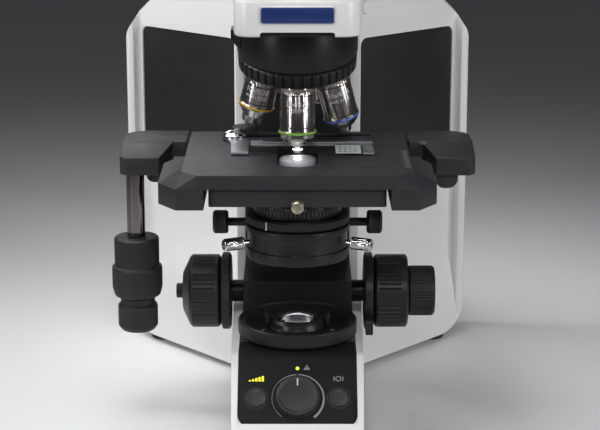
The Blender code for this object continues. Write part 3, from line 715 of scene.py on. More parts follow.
# thickening arc round the dial: 225 degrees from lower left to lower right
arc = []
n_arc = 72
for side_k in (0, 1):
    rng_k = range(n_arc + 1) if side_k == 0 else range(n_arc, -1, -1)
    for k in rng_k:
        t = k / n_arc
        a = math.radians(232 - 284 * t)
        w = 0.25 + 1.45 * t * t
        r = 17.0 if side_k == 0 else 17.0 + w
        arc.append((r * math.cos(a), r * math.sin(a)))
bm = bmesh.new()
cnt = n_arc + 1
lo = [[bm.verts.new((x / 1000, y / 1000, z / 1000)) for x, y in arc] for z in (-0.2, 0.12)]
m2 = len(arc)
for k in range(n_arc):
    i0, i1, j0, j1 = k, k + 1, m2 - 1 - k, m2 - 2 - k
    bm.faces.new((lo[1][i0], lo[1][i1], lo[1][j1], lo[1][j0]))
    bm.faces.new((lo[0][i0], lo[0][j0], lo[0][j1], lo[0][i1]))
for k in range(m2):
    k2 = (k + 1) % m2
    bm.faces.new((lo[0][k], lo[0][k2], lo[1][k2], lo[1][k]))
bmesh.ops.recalc_face_normals(bm, faces=bm.faces)
me = bpy.data.meshes.new("dial_scale")
bm.to_mesh(me)
bm.free()
me.transform(fr)
arc_o = to_obj("dial_scale", me, "ink_dim")
me.materials[0] = M["arc_grey"]
extra(arc_o, "control_panel")
tick = prism("dial_scale_gap", [(-0.5, 16.0), (0.5, 16.0), (0.5, 18.6), (-0.5, 18.6)], -0.1, 0.2,
             frame_m=fr, mat="panel")
extra(tick, "control_panel")

for tag, bx in (("left", -27.5), ("right", 27.5)):
    b = lathe("push_button_" + tag, [(0, 0.7), (4.0, 0.8, 3.0), (6.0, 1.35, 0.6), (6.62, 0.9, 0.3),
                                     (6.62, -4.2), (0, -4.2)], on_slope(bx, -68), SN, "button",
              seg=64)
    stand_in(b, "button_" + tag)
    ring = lathe("button_ring_" + tag, [(6.95, 0.2), (8.0, 0.2, 0.1), (8.0, -0.2),
                                        (6.95, -0.2)], on_slope(bx, -68), SN, "socket", seg=64)
    extra(ring, "control_panel")

led = lathe("status_light", [(0, 0.9), (0.7, 0.8, 0.4), (1.15, 0.4), (1.2, 0.2), (0, 0.2)],
            on_slope(0, -52.5), SN, "led", seg=32)
stand_in(led, "status_lamp")
# small generic symbols: a lamp outline, a rising bar sign and a ring sign
fr2 = frame_at(on_slope(6.3, -52.5), SN, (1, 0, 0))
sym = [prism("s", [(-2.4, -1.0, 0.3), (2.4, -1.0, 0.3), (1.3, 0.8, 0.3), (-1.3, 0.8, 0.3)], 0.0, 0.1,
             frame_m=fr2, mat="ink_dim"),
       prism("s", [(-0.9, 1.2), (0.9, 1.2), (0.0, 2.9, 0.2)], 0.0, 0.1, frame_m=fr2, mat="ink_dim")]
extra(merge("lamp_symbol", sym), "control_panel")
fr3 = frame_at(on_slope(-27.5, -57.9), SN, (1, 0, 0))
bars = []
for k in range(5):
    h = 0.9 + 0.75 * k
    bars.append(prism("s", [(-5.2 + 2.15 * k, -2.0), (-3.7 + 2.15 * k, -2.0),
                            (-3.7 + 2.15 * k, -2.0 + h), (-5.2 + 2.15 * k, -2.0 + h)], 0.0, 0.1,
                      frame_m=fr3, mat="ink_yellow"))
extra(merge("level_symbol", bars), "control_panel")
fr4 = frame_at(on_slope(27.5, -57.9), SN, (1, 0, 0))
rg = lathe("s", [(2.0, 0.1), (1.35, 0.1), (1.35, 0), (2.0, 0)], (0, 0, 0), (0, 0, 1), "ink_dim",
           seg=32)
rg.matrix_world = fr4
dots = [rg]
for s in (-1, 1):
    dots.append(prism("s", [(s * 3.0 - 0.35, -1.6), (s * 3.0 + 0.35, -1.6), (s * 3.0 + 0.35, 1.6),
                            (s * 3.0 - 0.35, 1.6)], 0.0, 0.1, frame_m=fr4, mat="ink_dim"))
extra(merge("memory_symbol", dots), "control_panel")

# field lens mount, lens and knurled ring
mnt = lathe("lens_seat", [(0, 74.2), (13.4, 74.2), (13.4, 80.2, 0.3), (14.2, 80.8, 0.4), (16.8, 80.8, 0.6),
                          (18.6, 78.6, 1.0), (19.6, 74.6, 1.5), (29.0, 75.6, 2), (37.4, 78.8, 1.2),
                          (38.6, 78.2, 0.4), (38.6, 69.0), (0, 69.0)], (0, 0, 0), (0, 0, 1),
            "black", seg=120)
stand_in(mnt, "field_lens_mount")
for k in range(3):
    a = math.radians(90 + 120 * k)
    extra(screw_head("seat_screw_%d" % k, (28 * math.cos(a), 28 * math.sin(a), 75.3), (0, 0, 1),
                     1.8, "nickel_dark", 0.8), "field_lens_mount")
for s in (-1, 1):
    clip = prism("filter_clip_%s" % ("left" if s < 0 else "right"),
                 [(s * 19.6, -5.0), (s * 22.5, -4.6, 0.8), (s * 22.5, 4.6, 0.8), (s * 19.6, 5.0)]
                 if s > 0 else [(-19.6, 5.0), (-22.5, 4.6, 0.8), (-22.5, -4.6, 0.8), (-19.6, -5.0)],
                 75.2, 83.2, 'Z', "black", 0.5, 2)
    extra(clip, "field_lens_mount")
lens = lathe("field_glass", [(0, 82.6), (4.5, 82.1), (8.6, 80.7), (11.6, 78.8), (12.9, 77.2, 0.3),
                             (12.9, 75.2), (0, 75.2)], (0, 0, 0), (0, 0, 1), "lens", seg=72, n=6,
             angle=60)
stand_in(lens, "field_lens")
ld = lathe("lamp_window", [(0, 75.1), (10.5, 75.0), (11.5, 74.6), (11.5, 74.3), (0, 74.3)], (0, 0, 0), (0, 0, 1), None, seg=48)
ld.data.materials.append(glow("lamp_window_glow", (0.95, 0.90, 0.95), 1.1))
extra(ld, "field_lens_mount")
ringk = lathe("iris_ring", [(40.2, 80.4, 0.4), (41.4, 79.4, 0.5), (41.4, 71.0, 0.5), (40.4, 69.7, 0.3),
                            (39.05, 69.7), (39.05, 80.0, 0.2)], (0, 0, 0), (0, 0, 1), "plastic",
              seg=240, ribs=[(71.4, 79.0, 120, 0.42, groove(0.45, 0.2), 6)])
stand_in(ringk, "field_iris_ring")

# rear frame with its hoop
sil = [(-136.0, 5.0, 20), (136.0, 5.0, 20), (136.0, 250.0, 20), (127.0, 263.0, 12), (82.0, 308.0, 10),
       (-82.0, 308.0, 10), (-127.0, 263.0, 12), (-136.0, 250.0, 20)]
fplan = [(-46, 125), (46, 125), (47.2, 147, 3), (124.0, 218.4, 1.5), (127.6, 217.9, 1.2), (130.2, 212.2, 1.2),
         (136, 212, 3.0), (136, 245.0, 9), (-136, 245.0, 9), (-136, 212, 3.0), (-130.2, 212.2, 1.2),
         (-127.6, 217.9, 1.2), (-124.0, 218.4, 1.5), (-47.2, 147, 3)]
frm = prism("frame_shell", fplan, -20, 330, 'Z', "white")
boolean(frm, prism("c", [(112.0, -20), (170, -20), (170, BASE_TOP), (112.0, BASE_TOP)],
                   -48.15, 48.15, 'X'), 'UNION')
sk_n = Vector((7728.0, -6992.0, 2108.0)).normalized()
for s in (1, -1):
    quad = [(42, 113.5), (48.6, 116.6), (124, 200), (134, 214), (134, 226), (42, 168)]
    quad = [(s * x, y) for x, y in quad]
    if s < 0:
        quad.reverse()
    sk = prism("c", quad, -15, 118, 'Z')
    bm = bmesh.new()
    bm.from_mesh(sk.data)
    n3 = Vector((s * sk_n.x, sk_n.y, sk_n.z))
    bmesh.ops.bisect_plane(bm, geom=bm.verts[:] + bm.edges[:] + bm.faces[:],
                           plane_co=P(s * 48.0, 116.0, 5.0), plane_no=n3, clear_outer=True,
                           dist=1e-7)
    bmesh.ops.holes_fill(bm, edges=[e for e in bm.edges if e.is_boundary], sides=0)
    bmesh.ops.recalc_face_normals(bm, faces=bm.faces)
    bm.to_mesh(sk.data)
    bm.free()
    boolean(frm, sk, 'UNION')
boolean(frm, prism("c", sil, 100, 260, 'Y', corner_n=10), 'INTERSECT')
round_edges(frm, 1.6, 3, 33)
boolean(frm, box3("c", -39.8, 39.8, 110, 134.7, 64.5, 261.9))
boolean(frm, box3("c", -80, 80, 196, 260, 30, 276))
boolean(frm, box3("c", -37, 37, 146, 200, 36, 270))
boolean(frm, box3("c", 93.6, 124.4, 228, 260, 33.6, 58.4))
boolean(frm, box3("c", -122.4, -97.6, 234, 260, 38.6, 55.4))
T = Vector((124.0 - 47.2, 218.4 - 147.0)).normalized()


def slanted_frame(s):
    """Local X along the slanted face from the column to the rim, Y up, Z out of the face."""
    o = P(s * 47.2, 147.0, 0)
    xx = Vector((s * T.x, T.y, 0))
    yy = Vector((0, 0, 1))
    zz = Vector((s * T.y, -T.x, 0))
    r = Matrix((xx, yy, zz)).transposed().to_4x4()
    return Matrix.Translation(o) @ r


for s, tag in ((1, "right"), (-1, "left")):
    fm4 = slanted_frame(s)
    seat = prism("c", [(1.0, 149.5, 6), (103.9, 149.5, 6), (103.9, 254.4, 6), (1.0, 254.4, 6)], -3.4, 30,
                 frame_m=fm4)
    clean_mesh(seat.data)
    boolean(frm, seat)
    pnl = prism("side_cover_" + tag, [(1.5, 150.0, 5.6), (103.4, 150.0, 5.6), (103.4, 253.9, 5.6),
                                      (1.5, 253.9, 5.6)], -3.0, -0.5, frame_m=fm4, mat="panel_black",
                bevel=0.6, seg=2)
    stand_in(pnl, "side_panel_" + tag)
stand_in(frm, "rear_frame")

# feet
for tag, fx, fy in (("front_left", -29, -78), ("front_right", 29, -78),
                    ("rear_left", -108, 205), ("rear_right", 108, 205)):
    ft = lathe("rubber_foot_" + tag, [(0, 4.6), (10.5, 4.6, 0.5), (12, 1.6, 0.8), (11, 0, 0.4), (8.0, 0, 0.3),
                                      (7.4, 0.7), (0, 0.7)], (fx, fy, 0), (0, 0, 1), "rubber", seg=48)
    stand_in(ft, "foot_" + tag)

# bottom cover with ventilation slots and screws
bc = box3("bottom_plate", -36.5, 36.5, -43.5, 103.5, 5.6, 8.0, "black", 0.5, 2)
for k in range(9):
    boolean(bc, prism("c", [(-22, 20 + 6 * k, 1), (22, 20 + 6 * k, 1), (22, 22.4 + 6 * k, 1), (-22, 22.4 + 6 * k, 1)],
                      0, 12, 'Z'), dissolve=False)
stand_in(bc, "bottom_cover")
for sx in (-1, 1):
    for yy in (-37, 97):
        extra(screw_head("bottom_screw_%d_%d" % (sx, yy), (sx * 31, yy, 5.6), (0, 0, -1), 2.4, "steel", 0.9),
              "bottom_cover")

# arm
arm = prism("arm_shell", [(-14.6, 308.0), (-14.6, 284.0), (70, 284.0, 6), (79, 262.2, 6), (124.6, 262.2),
                          (124.6, 308.0)], -60, 60, 'X', "white")
boolean(arm, prism("c", [(-42.4, -20), (42.4, -20), (46, 130), (-46, 130)], 200, 330, 'Z'), 'INTERSECT')
round_edges(arm, 2.4, 3, 40)
stand_in(arm, "arm_casting")
cap = prism("arm_nose", [(-41.7, -15), (-41.7, -45, 12), (41.7, -45, 12), (41.7, -15)], 284, 308, 'Z', "white",
            2.0, 3, corner_n=8)
boolean(cap, prism("c", [(-24.5, 280), (24.5, 280), (24.5, 287.4, 2), (-24.5, 287.4, 2)], -60, -24, 'Y'))
stand_in(cap, "arm_front_cap")
# plain badge plate, no lettering
bz = frame_at((0, -45.0, 298.6), (0, -1, 0), (1, 0, 0))
rim = prism("badge_frame", [(-24.6, -6.1, 2.2), (24.6, -6.1, 2.2), (24.6, 6.1, 2.2), (-24.6, 6.1, 2.2)], 0.0, 0.9,
            frame_m=bz, mat="badge_rim", bevel=0.3, seg=2)
extra(rim, "arm_front_cap")
bd = prism("badge_plate", [(-23.6, -5.2, 1.6), (23.6, -5.2, 1.6), (23.6, 5.2, 1.6), (-23.6, 5.2, 1.6)], 0.85, 1.25,
           frame_m=bz, mat="badge", bevel=0.15, seg=2)
extra(bd, "arm_front_cap")
notch = box3("nose_shadow_plate", -24.2, 24.2, -42.0, -25.0, 284.2, 287.0, "black", 0.5, 2)
extra(notch, "arm_front_cap")

tcs = lathe("tube_screw", [(0, 1.6), (2.3, 1.6), (2.3, 3.0), (4.6, 3.0, 0.5), (4.8, 0.4), (0, 0.4)],
            (43.4, 0, 298), (1, 0, 0), "white", seg=48)
stand_in(tcs, "tube_clamp_screw")

# rear cover: vents, screws; inlet; switch; lamp housing
rcv = prism("back_cover", [(-79.6, 30.4, 5), (79.6, 30.4, 5), (79.6, 275.6, 5), (-79.6, 275.6, 5)], 240.0, 244.6,
            'Y', "panel_black", 0.8, 2)
for k in range(12):
    for sx in (-1, 1):
        z = 190 + 6.2 * k
        boolean(rcv, prism("c", [(sx * 40 - 26, z, 1.2), (sx * 40 + 26, z, 1.2), (sx * 40 + 26, z + 2.6, 1.2),
                                 (sx * 40 - 26, z + 2.6, 1.2)], 230, 250, 'Y'), dissolve=False)
stand_in(rcv, "rear_cover")
for sx in (-1, 1):
    for zz in (40, 150, 266):
        extra(screw_head("back_screw_%d_%d" % (sx, zz), (sx * 73, 244.6, zz), (0, 1, 0), 2.6, "steel", 1.0),
              "rear_cover")
inl = box3("mains_inlet", 94, 124, 228.4, 246.8, 34, 58, "plastic", 0.8, 2)
boolean(inl, prism("c", [(98, 39, 0.8), (120, 39, 0.8), (120, 50, 3), (117, 53, 3), (101, 53, 3), (98, 50, 3)], 232.5, 260, 'Y'))
stand_in(inl, "power_inlet")
pins = []
for px, pz in ((103.5, 45.0), (109.0, 48.5), (114.5, 45.0)):
    pins.append(box3("p", px - 1.0, px + 1.0, 232.2, 243.5, pz - 2.0, pz + 2.0, "brass", 0.3, 2))
extra(merge("inlet_pins", pins), "power_inlet")
sw = prism("rocker", [(236.0, 44.0), (236.0, 50.0), (243.6, 53.6, 1), (247.2, 53.2, 1), (245.4, 47.0, 4),
                      (243.6, 40.4, 0.8), (241.0, 40.6)], -121.6, -98.4, 'X', "plastic", 0.4, 2)
stand_in(sw, "power_switch")
fr5 = frame_at((-110, 246.6, 50.6), (0, 0.958, -0.287), (-1, 0, 0))
extra(prism("switch_mark", [(-0.35, -1.8), (0.35, -1.8), (0.35, 1.8), (-0.35, 1.8)], -0.35, 0.12, frame_m=fr5,
            mat="ink"), "power_switch")

lh = prism("lamp_house", [(-43, 14, 12), (43, 14, 12), (43, 98, 12), (-43, 98, 12)], 262, 321, 'Y', "panel_black", 2.0, 3)
for k in range(7):
    yy = 272 + 6.2 * k
    ringc = prism("c", [(-60, -10), (60, -10), (60, 130), (-60, 130)], yy, yy + 2.6, 'Y')
    inner = prism("c2", [(-39.5, 17.5, 9.5), (39.5, 17.5, 9.5), (39.5, 94.5, 9.5), (-39.5, 94.5, 9.5)], yy - 1, yy + 4, 'Y')
    boolean(ringc, inner)
    boolean(lh, ringc, dissolve=False)
nk = lathe("lamp_collar", [(0, 18), (25, 18), (27, 16, 1), (27, 2, 1), (26, 1), (26, -17.5), (0, -17.5)], (0, 263, 56), (0, 1, 0),
           "black", seg=72, ribs=[(2.6, 14.0, 60, 0.5, groove(0.4, 0.2), 4)])
lamp = merge("lamp_house_set", [lh, nk])
stand_in(lamp, "lamp_housing")
for sx in (-1, 1):
    extra(screw_head("lamp_screw_%d" % sx, (sx * 30, 321, 84), (0, 1, 0), 3.0, "steel", 1.0), "lamp_housing")

# ============================================================== head
head_side = [(50, 308.4, 3), (50, 346, 14), (34, 384, 14), (8, 400, 12), (-2, 401, 6), (-30.5, 352.0, 10),
             (-35, 336, 12), (-35, 308.4, 3)]
hd = prism("binocular_body", head_side, -46, 46, 'X', "white", corner_n=8)
boolean(hd, prism("c", [(-46, -60, 10), (46, -60, 10), (46, 80, 14), (-46, 80, 14)], 300, 420, 'Z', corner_n=8), 'INTERSECT')
round_edges(hd, 3.0, 4, 34)
stand_in(hd, "observation_tube")
EYE_TILT = math.radians(30)
ED = Vector((0, -math.cos(EYE_TILT), math.sin(EYE_TILT)))
EU = Vector((0, math.sin(EYE_TILT), math.cos(EYE_TILT)))
EYE_R, EYE_DROP = 38.0, math.radians(35)
for s, tag in ((-1, "left"), (1, "right")):
    cx = s * EYE_R * math.cos(EYE_DROP)
    c = Vector((cx, -18.0, 374.0)) - EU * (EYE_R * math.sin(EYE_DROP)) * 0.5
    st = c + ED * 0.6
    tb = lathe("tube_" + tag, [(0, 44), (12.2, 44), (12.9, 43.6, 0.3), (13.3, 42.6, 0.4), (13.3, 14.5, 0.8), (14.2, 13.4), (18.2, 10.0, 1.5),
                               (19.5, 7.5, 1.2), (19.5, 0.4, 0.4), (19.0, 0), (0, 0)], st, ED, "black", seg=72)
    stand_in(tb, "eyepiece_tube_" + tag)
    ep = lathe("ocular_" + tag, [(0, 24.2), (6.0, 24.0, 1), (9.2, 25.5, 0.6), (10.5, 29.4, 0.8), (12.2, 30.4, 0.8), (14.6, 30.0, 1.0),
                                 (16.5, 27.6, 1.4), (16.5, 18.4, 0.8), (15.3, 16.2, 0.6), (15.3, 6.2, 0.6), (14.3, 4.2, 0.4),
                                 (14.3, 0.4, 0.3), (0, 0.4)], st + ED * 44.0, ED, "rubber", seg=96,
               ribs=[(6.8, 15.4, 48, 0.35, groove(0.45, 0.25), 6)])
    stand_in(ep, "eyepiece_" + tag)
    gl = lathe("ocular_glass_" + tag, [(0, 25.3), (4, 25.1), (7.2, 24.6), (7.4, 24.0), (0, 23.6)], st + ED * 44.0, ED, "lens", seg=40,
               angle=60)
    extra(gl, "eyepiece_" + tag)
    br = lathe("ocular_band_" + tag, [(14.45, 3.6), (14.75, 3.4, 0.1), (14.75, 2.2, 0.1), (14.45, 2.0), (13.9, 2.0), (13.9, 3.6)],
               st + ED * 44.0, ED, "nickel", seg=72)
    extra(br, "eyepiece_" + tag)

# ============================================================== nosepiece
TILT = math.radians(15.0)
TA = Vector((0, math.sin(TILT), -math.cos(TILT)))
S0 = Vector((0, 23.2, 251.2))
nm = lathe("nose_drum", [(0, 283.4), (39.3, 283.4, 1.2), (41.5, 281.2, 1.2), (41.5, 236), (0, 236)], (0, 23.2, 0), (0, 0, 1),
           "black", seg=144, local=False)
bm = bmesh.new()
bm.from_mesh(nm.data)
bmesh.ops.bisect_plane(bm, geom=bm.verts[:] + bm.edges[:] + bm.faces[:], plane_co=P(*(S0 + TA * -14.7)), plane_no=TA,
                       clear_outer=True, dist=1e-7)
bmesh.ops.holes_fill(bm, edges=[e for e in bm.edges if e.is_boundary], sides=0)
bmesh.ops.recalc_face_normals(bm, faces=bm.faces)
bm.to_mesh(nm.data)
bm.free()
round_edges(nm, 0.5, 2, 50)
stand_in(nm, "nosepiece_mount")
nt_ = lathe("turret", [(0, 14.2), (37.5, 14.2), (39.4, 14.0, 0.4), (40.9, 13.0, 0.8), (40.4, 5.2, 1.0), (38.8, 3.8, 0.6), (30, 1.5, 1),
                       (12.5, -3.1, 2), (11.5, -5.0, 0.6), (0, -5.2)],
            S0, -TA, "black", seg=360, ribs=[(5.4, 13.6, 40, 1.3, groove(0.26, 0.10), 9)])
stand_in(nt_, "nosepiece_turret")
u0 = Vector((0, -math.cos(TILT), -math.sin(TILT)))
OBJ = [
    ("20x", "green", "20x/0.50", [(0, -0.2), (12.0, -0.2, 0.3), (12.0, -30.3, 0.2), (12.8, -30.6, 0.2), (12.8, -31.9, 0.2),
                                  (12.0, -32.3, 0.2), (12.0, -35.2, 1.6), (9.6, -37.6, 0.8), (6.4, -38.8, 0.4), (4.7, -41.2, 0.4), (2.8, -41.6), (0, -41.4)],
     (-30.6, -31.9, 12.8)),
    ("40x", "blue", "40x/0.75", [(0, -0.2), (12.0, -0.2, 0.3), (12.0, -28.8, 0.3), (12.5, -29.4, 0.2), (12.5, -30.9, 0.3),
                                 (11.4, -33.0, 0.8), (8.2, -36.6, 0.8), (5.6, -37.6, 0.4), (4.4, -41.6, 0.4), (2.6, -42.1), (0, -41.9)],
     (-29.5, -30.7, 12.5)),
    ("100x", "ringwhite", "100x/1.30", [(0, -0.2), (12.0, -0.2, 0.3), (12.0, -27.8, 0.3), (12.5, -28.4, 0.3), (12.5, -30.6, 0.4),
                                        (11.0, -32.4, 0.5), (8.0, -36.2, 0.8), (5.0, -37.4, 0.4), (3.5, -42.2, 0.4), (1.8, -42.7), (0, -42.5)],
     (-28.5, -29.8, 12.5)),
    ("4x", "red", "4x/0.13", [(0, -0.2), (12.0, -0.2, 0.3), (12.0, -17.0, 0.3), (12.6, -17.6, 0.3), (12.6, -20.0, 0.3),
                              (11.4, -21.4, 0.6), (10.6, -26.6, 0.5), (8.8, -26.9, 0.3), (8.4, -25.4), (0, -25.2)], (-17.8, -19.0, 12.6)),
    ("10x", "yellow", "10x/0.30", [(0, -0.2), (12.0, -0.2, 0.3), (12.0, -20.0, 0.3), (12.6, -20.6, 0.3), (12.6, -22.8, 0.4),
                                   (11.6, -24.2, 0.5), (9.0, -27.8, 0.8), (8.0, -29.2, 0.4), (7.6, -34.0, 0.5), (5.4, -34.4, 0.2), (5.2, -33.4), (0, -33.2)],
     (-20.8, -22.0, 12.6)),
]
for i, (nm_, col, txt, prof, rng_) in enumerate(OBJ):
    rot = Matrix.Rotation(math.radians(72.0 * i), 3, -TA)
    down = rot @ Vector((0, 0, -1))
    seat = S0 + (rot @ u0) * 24.0 + down * 0.35
    out = rot @ u0
    ob = lathe("lens_barrel_" + nm_, prof, seat, -down, "nickel", seg=96, x=out,
               ribs=[(-4.6, -1.6, 40, 0.22, groove(0.4, 0.2), 6)])
    stand_in(ob, "objective_" + nm_)
    cr = lathe("colour_ring_" + nm_, [(rng_[2] + 0.22, rng_[0], 0.15), (rng_[2] + 0.22, rng_[1], 0.15), (rng_[2] - 0.6, rng_[1]),
                                      (rng_[2] - 0.6, rng_[0])], seat, -down, col, seg=96)
    extra(cr, "objective_" + nm_)
    # cover glass of the front lens
    zt = prof[-1][1]
    gr = lathe("front_lens_" + nm_, [(0, zt + 0.3), (1.9, zt + 0.3), (1.9, zt - 0.05), (0, zt - 0.12)], seat, -down, "lens", seg=24)
    extra(gr, "objective_" + nm_)
    for grv in (-5.4, -27.4 if prof[2][1] < -25 else prof[2][1] + 1.8):
        g = lathe("groove_%s_%d" % (nm_, int(-grv)), [(12.06, grv + 0.3), (12.06, grv - 0.3), (11.6, grv - 0.3), (11.6, grv + 0.3)],
                  seat, -down, "ink_black", seg=96)
        extra(g, "objective_" + nm_)
    fm4 = frame_at(seat, -down, out)
    zmid = -11.0 if prof[2][1] < -25 else -8.5
    face = math.radians({1: -58, 2: -100, 3: 100, 4: 58}.get(i, 0))
    t1 = tri_text("t", txt, 4.9, "ink", 0.10)
    wrap_on(t1, 12.0, fm4, z=zmid, turn=face, outward=0.02)
    t2 = tri_text("t", "\u221e/0.17/22", 3.6, "ink", 0.10)
    wrap_on(t2, 12.0, fm4, z=zmid - 4.6, turn=face, outward=0.02)
    tt = merge("figures_" + nm_, [t1, t2])
    extra(tt, "objective_" + nm_)

# ============================================================== focus
fb = box3("guide_block", -39.4, 39.4, 119, 134.3, 65.0, 261.6, "black", 0.8, 2)
gb = box3("c", -39.4, 39.4, 50, 122, 65.0, 92.0)
boolean(fb, gb, 'UNION')
boolean(fb, lathe("c", [(0, 60), (8.4, 60), (8.4, -60), (0, -60)], (0, 75, 77.5), (1, 0, 0), seg=48, local=False))
stand_in(fb, "focus_block")
# rails of the vertical guide
for s in (-1, 1):
    extra(box3("guide_rail_%s" % ("left" if s < 0 else "right"), s * 37.9 - 1.2, s * 37.9 + 1.2, 117.9, 119.2, 180, 258, "steel", 0.4, 2),
          "focus_block")
K0 = (0, 75, 77.5)
KX = (1, 0, 0)
tr = lathe("tension_ring", [(26.5, -48.8, 0.8), (28.5, -50.0, 0.8), (28.5, -55.0, 0.6), (26, -56.0, 0.4), (8.5, -56.0), (8.5, -48.8)],
           K0, KX, "plastic", seg=180, ribs=[(-54.6, -50.4, 60, 0.4, groove(0.5, 0.2), 5)])
stand_in(tr, "focus_tension_ring")
lv = lathe("lock_ring", [(26, 55.6, 0.5), (28.5, 54.8, 0.5), (28.5, 49.6, 0.6), (26, 49.0, 0.4), (8.5, 49.0), (8.5, 55.6)], K0, KX, "plastic",
           seg=96, local=False)
boolean(lv, prism("c", [(75 - 36, 77.5 - 24, 3), (75 - 18, 77.5 - 24), (75 - 18, 77.5 - 10), (75 - 36, 77.5 - 12, 3)], 49.6, 54.8, 'X'), 'UNION')
stand_in(lv, "focus_lock_lever")
GR = groove(0.30, 0.14)


def cluster(t):
    """Grooves in groups, as on a moulded focus knob: four grooves and a plain land."""
    k = int(t) % 6
    return GR(t) if k < 4 else 0.0


ck = lathe("coarse_wheel_left", [(8.0, 55.8), (8.0, -56.5), (24.8, -56.5, 0.8), (27.0, -58.2, 0.8), (27.0, -77.3, 1.0), (25.3, -79.2, 0.8),
                                 (14.2, -84.4, 0.6), (3.5, -84.4), (3.5, 55.8)], K0, KX, "plastic", seg=288,
           ribs=[(-76.4, -60.6, 48, 0.75, cluster, 8)])
stand_in(ck, "coarse_knob_left")
ck2 = lathe("coarse_wheel_right", [(25.2, 81.0, 0.8), (27.0, 79.6, 0.8), (27.0, 58.0, 1.0), (25.0, 56.3, 0.8), (3.5, 56.3), (3.5, 81.0)], K0, KX,
            "plastic", seg=288, ribs=[(59.6, 75.6, 48, 0.75, cluster, 8)])
stand_in(ck2, "coarse_knob_right")
fl = lathe("fine_stub", [(0, 81.2), (3.0, 81.2), (3.0, -84.8), (5.5, -84.8, 0.3), (5.5, -89.2, 0.5), (4.6, -89.6), (0, -89.6)], K0, KX,
           "plastic", seg=48, ribs=[])
stand_in(fl, "fine_knob_left")
fr_ = lathe("fine_wheel", [(0, 100.2), (14.0, 100.2, 1.0), (15.4, 101.0, 0.6), (17.2, 101, 0.8), (18.5, 99.4, 0.8), (18.5, 82.8, 0.6), (17.5, 81.6, 0.4),
                           (0, 81.6)], K0, KX, "plastic", seg=240, ribs=[(84.0, 98.6, 48, 0.5, groove(0.45, 0.2), 5)])
stand_in(fr_, "fine_knob_right")

# ============================================================== stage
car = box3("carriage", -36, 36, 106, 118.6, 120.0, 176.6, "black", 0.8, 2)
boolean(car, box3("c", -34, 34, 60, 108, 152.0, 176.6), 'UNION')
boolean(car, box3("c", -22, 22, 47.4, 63, 122.0, 175.0), 'UNION')
boolean(car, lathe("c", [(0, 40), (3.4, 40), (3.4, -40), (0, -40)], (0, 54, 135.5), KX, seg=32, local=False))
round_edges(car, 0.7, 2, 50)
stand_in(car, "focus_carriage")

low_plan = [(-58, -70, 2), (58, -70, 2), (58, 50.5, 1), (100, 53.5), (100, 90.0), (-100, 90.0), (-100, 53.5), (-58, 50.5, 1)]
sb = prism("stage_body", low_plan, 177.0, 189.4, 'Z', "stage")
for s in (1, -1):
    wing = [(79.4, 51), (119, 51), (124.6, 58, 4), (124.6, 91, 26), (79.4, 91)]
    wing = [(s * p[0], *p[1:]) for p in wing]
    if s < 0:
        wing.reverse()
    boolean(sb, prism("c", wing, 177.6, 195, 'Z', corner_n=10), 'UNION')
boolean(sb, prism("c", [(98, 166, 5), (113, 166, 10), (113, 180), (98, 180)], 30, 56, 'Y', corner_n=8), 'UNION')
boolean(sb, prism("c", [(-107, 168, 5), (-95, 168, 5), (-95, 180), (-107, 180)], 40, 56, 'Y', corner_n=8), 'UNION')
boolean(sb, box3("c", -27, 27, -52, 40, 150, 220))
round_edges(sb, 0.9, 3, 40)
stand_in(sb, "stage_base")
for s, tag in ((1, "right"), (-1, "left")):
    pts = [(s * x, y, z) for x, y, z in
           ((97, 25, 176.2), (97, 25, 188.8), (97, 27, 189.4), (121, 25, 176.2), (121, 25, 188.8), (124.9, 29.5, 176.2), (124.9, 29.5, 189.2),
            (88, 54, 195.3), (124.9, 54, 195.3), (92, 54, 176.2), (124.9, 60, 176.2), (124.9, 60, 195.3), (88, 60, 195.3), (88, 60, 176.2))]
    hb = hull3("handle_block_" + tag, pts, "stage", 0.8, 3)
    extra(hb, "stage_base")

plate_plan = [(-65, -75, 3), (65, -75, 3), (76, -63, 3), (76, 68, 1.5), (-76, 68, 1.5), (-76, -63, 3)]
pl = prism("stage_table", plate_plan, 189.8, 199.0, 'Z', "stage")
for s in (1, -1):
    leg = [(61, -75), (79, -75, 1.5), (91.6, -56, 2), (91.6, 3, 2), (86, 15, 2), (86, 24, 1), (61, 24)]
    leg = [(s * p[0], *p[1:]) for p in leg]
    if s < 0:
        leg.reverse()
    boolean(pl, prism("c", leg, 176, 190.2, 'Z'), 'UNION')
    pts = [(s * x, y, z) for x, y, z in
           ((63, -74.9, 189.9), (63, -74.9, 198.9), (65, -74.9, 198.9), (75.9, -63, 198.9), (75.9, -50, 198.9), (79, -74.9, 189.9),
            (91.5, -56, 189.9), (86, -46, 189.9), (63, -46, 198.9), (63, -46, 189.9))]
    boolean(pl, hull3("c", pts), 'UNION')
slot_ = [(-14, -48.7, 13.8), (14, -48.7, 13.8), (14, 48.7, 13.8), (-14, 48.7, 13.8)]
round_edges(pl, 0.8, 3, 36)
boolean(pl, prism("c", slot_, 150, 220, 'Z', corner_n=14))
stand_in(pl, "stage_plate")

# scale on the right edge of the table
ticks = []
for k in range(27):
    y = -50 + 2.0 * k
    ln = 5.2 if k % 5 == 0 else 3.0
    ticks.append(prism("t", [(74.6 - ln, y - 0.14), (74.6, y - 0.14), (74.6, y + 0.14), (74.6 - ln, y + 0.14)], 198.95, 199.06, 'Z', "ink_dim"))
extra(merge("table_scale", ticks), "stage_plate")
ticks = []
for k in range(6):
    y = 46 - 2.0 * k
    ticks.append(prism("t", [(86.6, y + 6 - 0.14), (91.6, y + 6 - 0.14), (91.6, y + 6 + 0.14), (86.6, y + 6 + 0.14)], 194.95, 195.06, 'Z', "ink_dim"))
extra(merge("wing_scale", ticks), "stage_base")

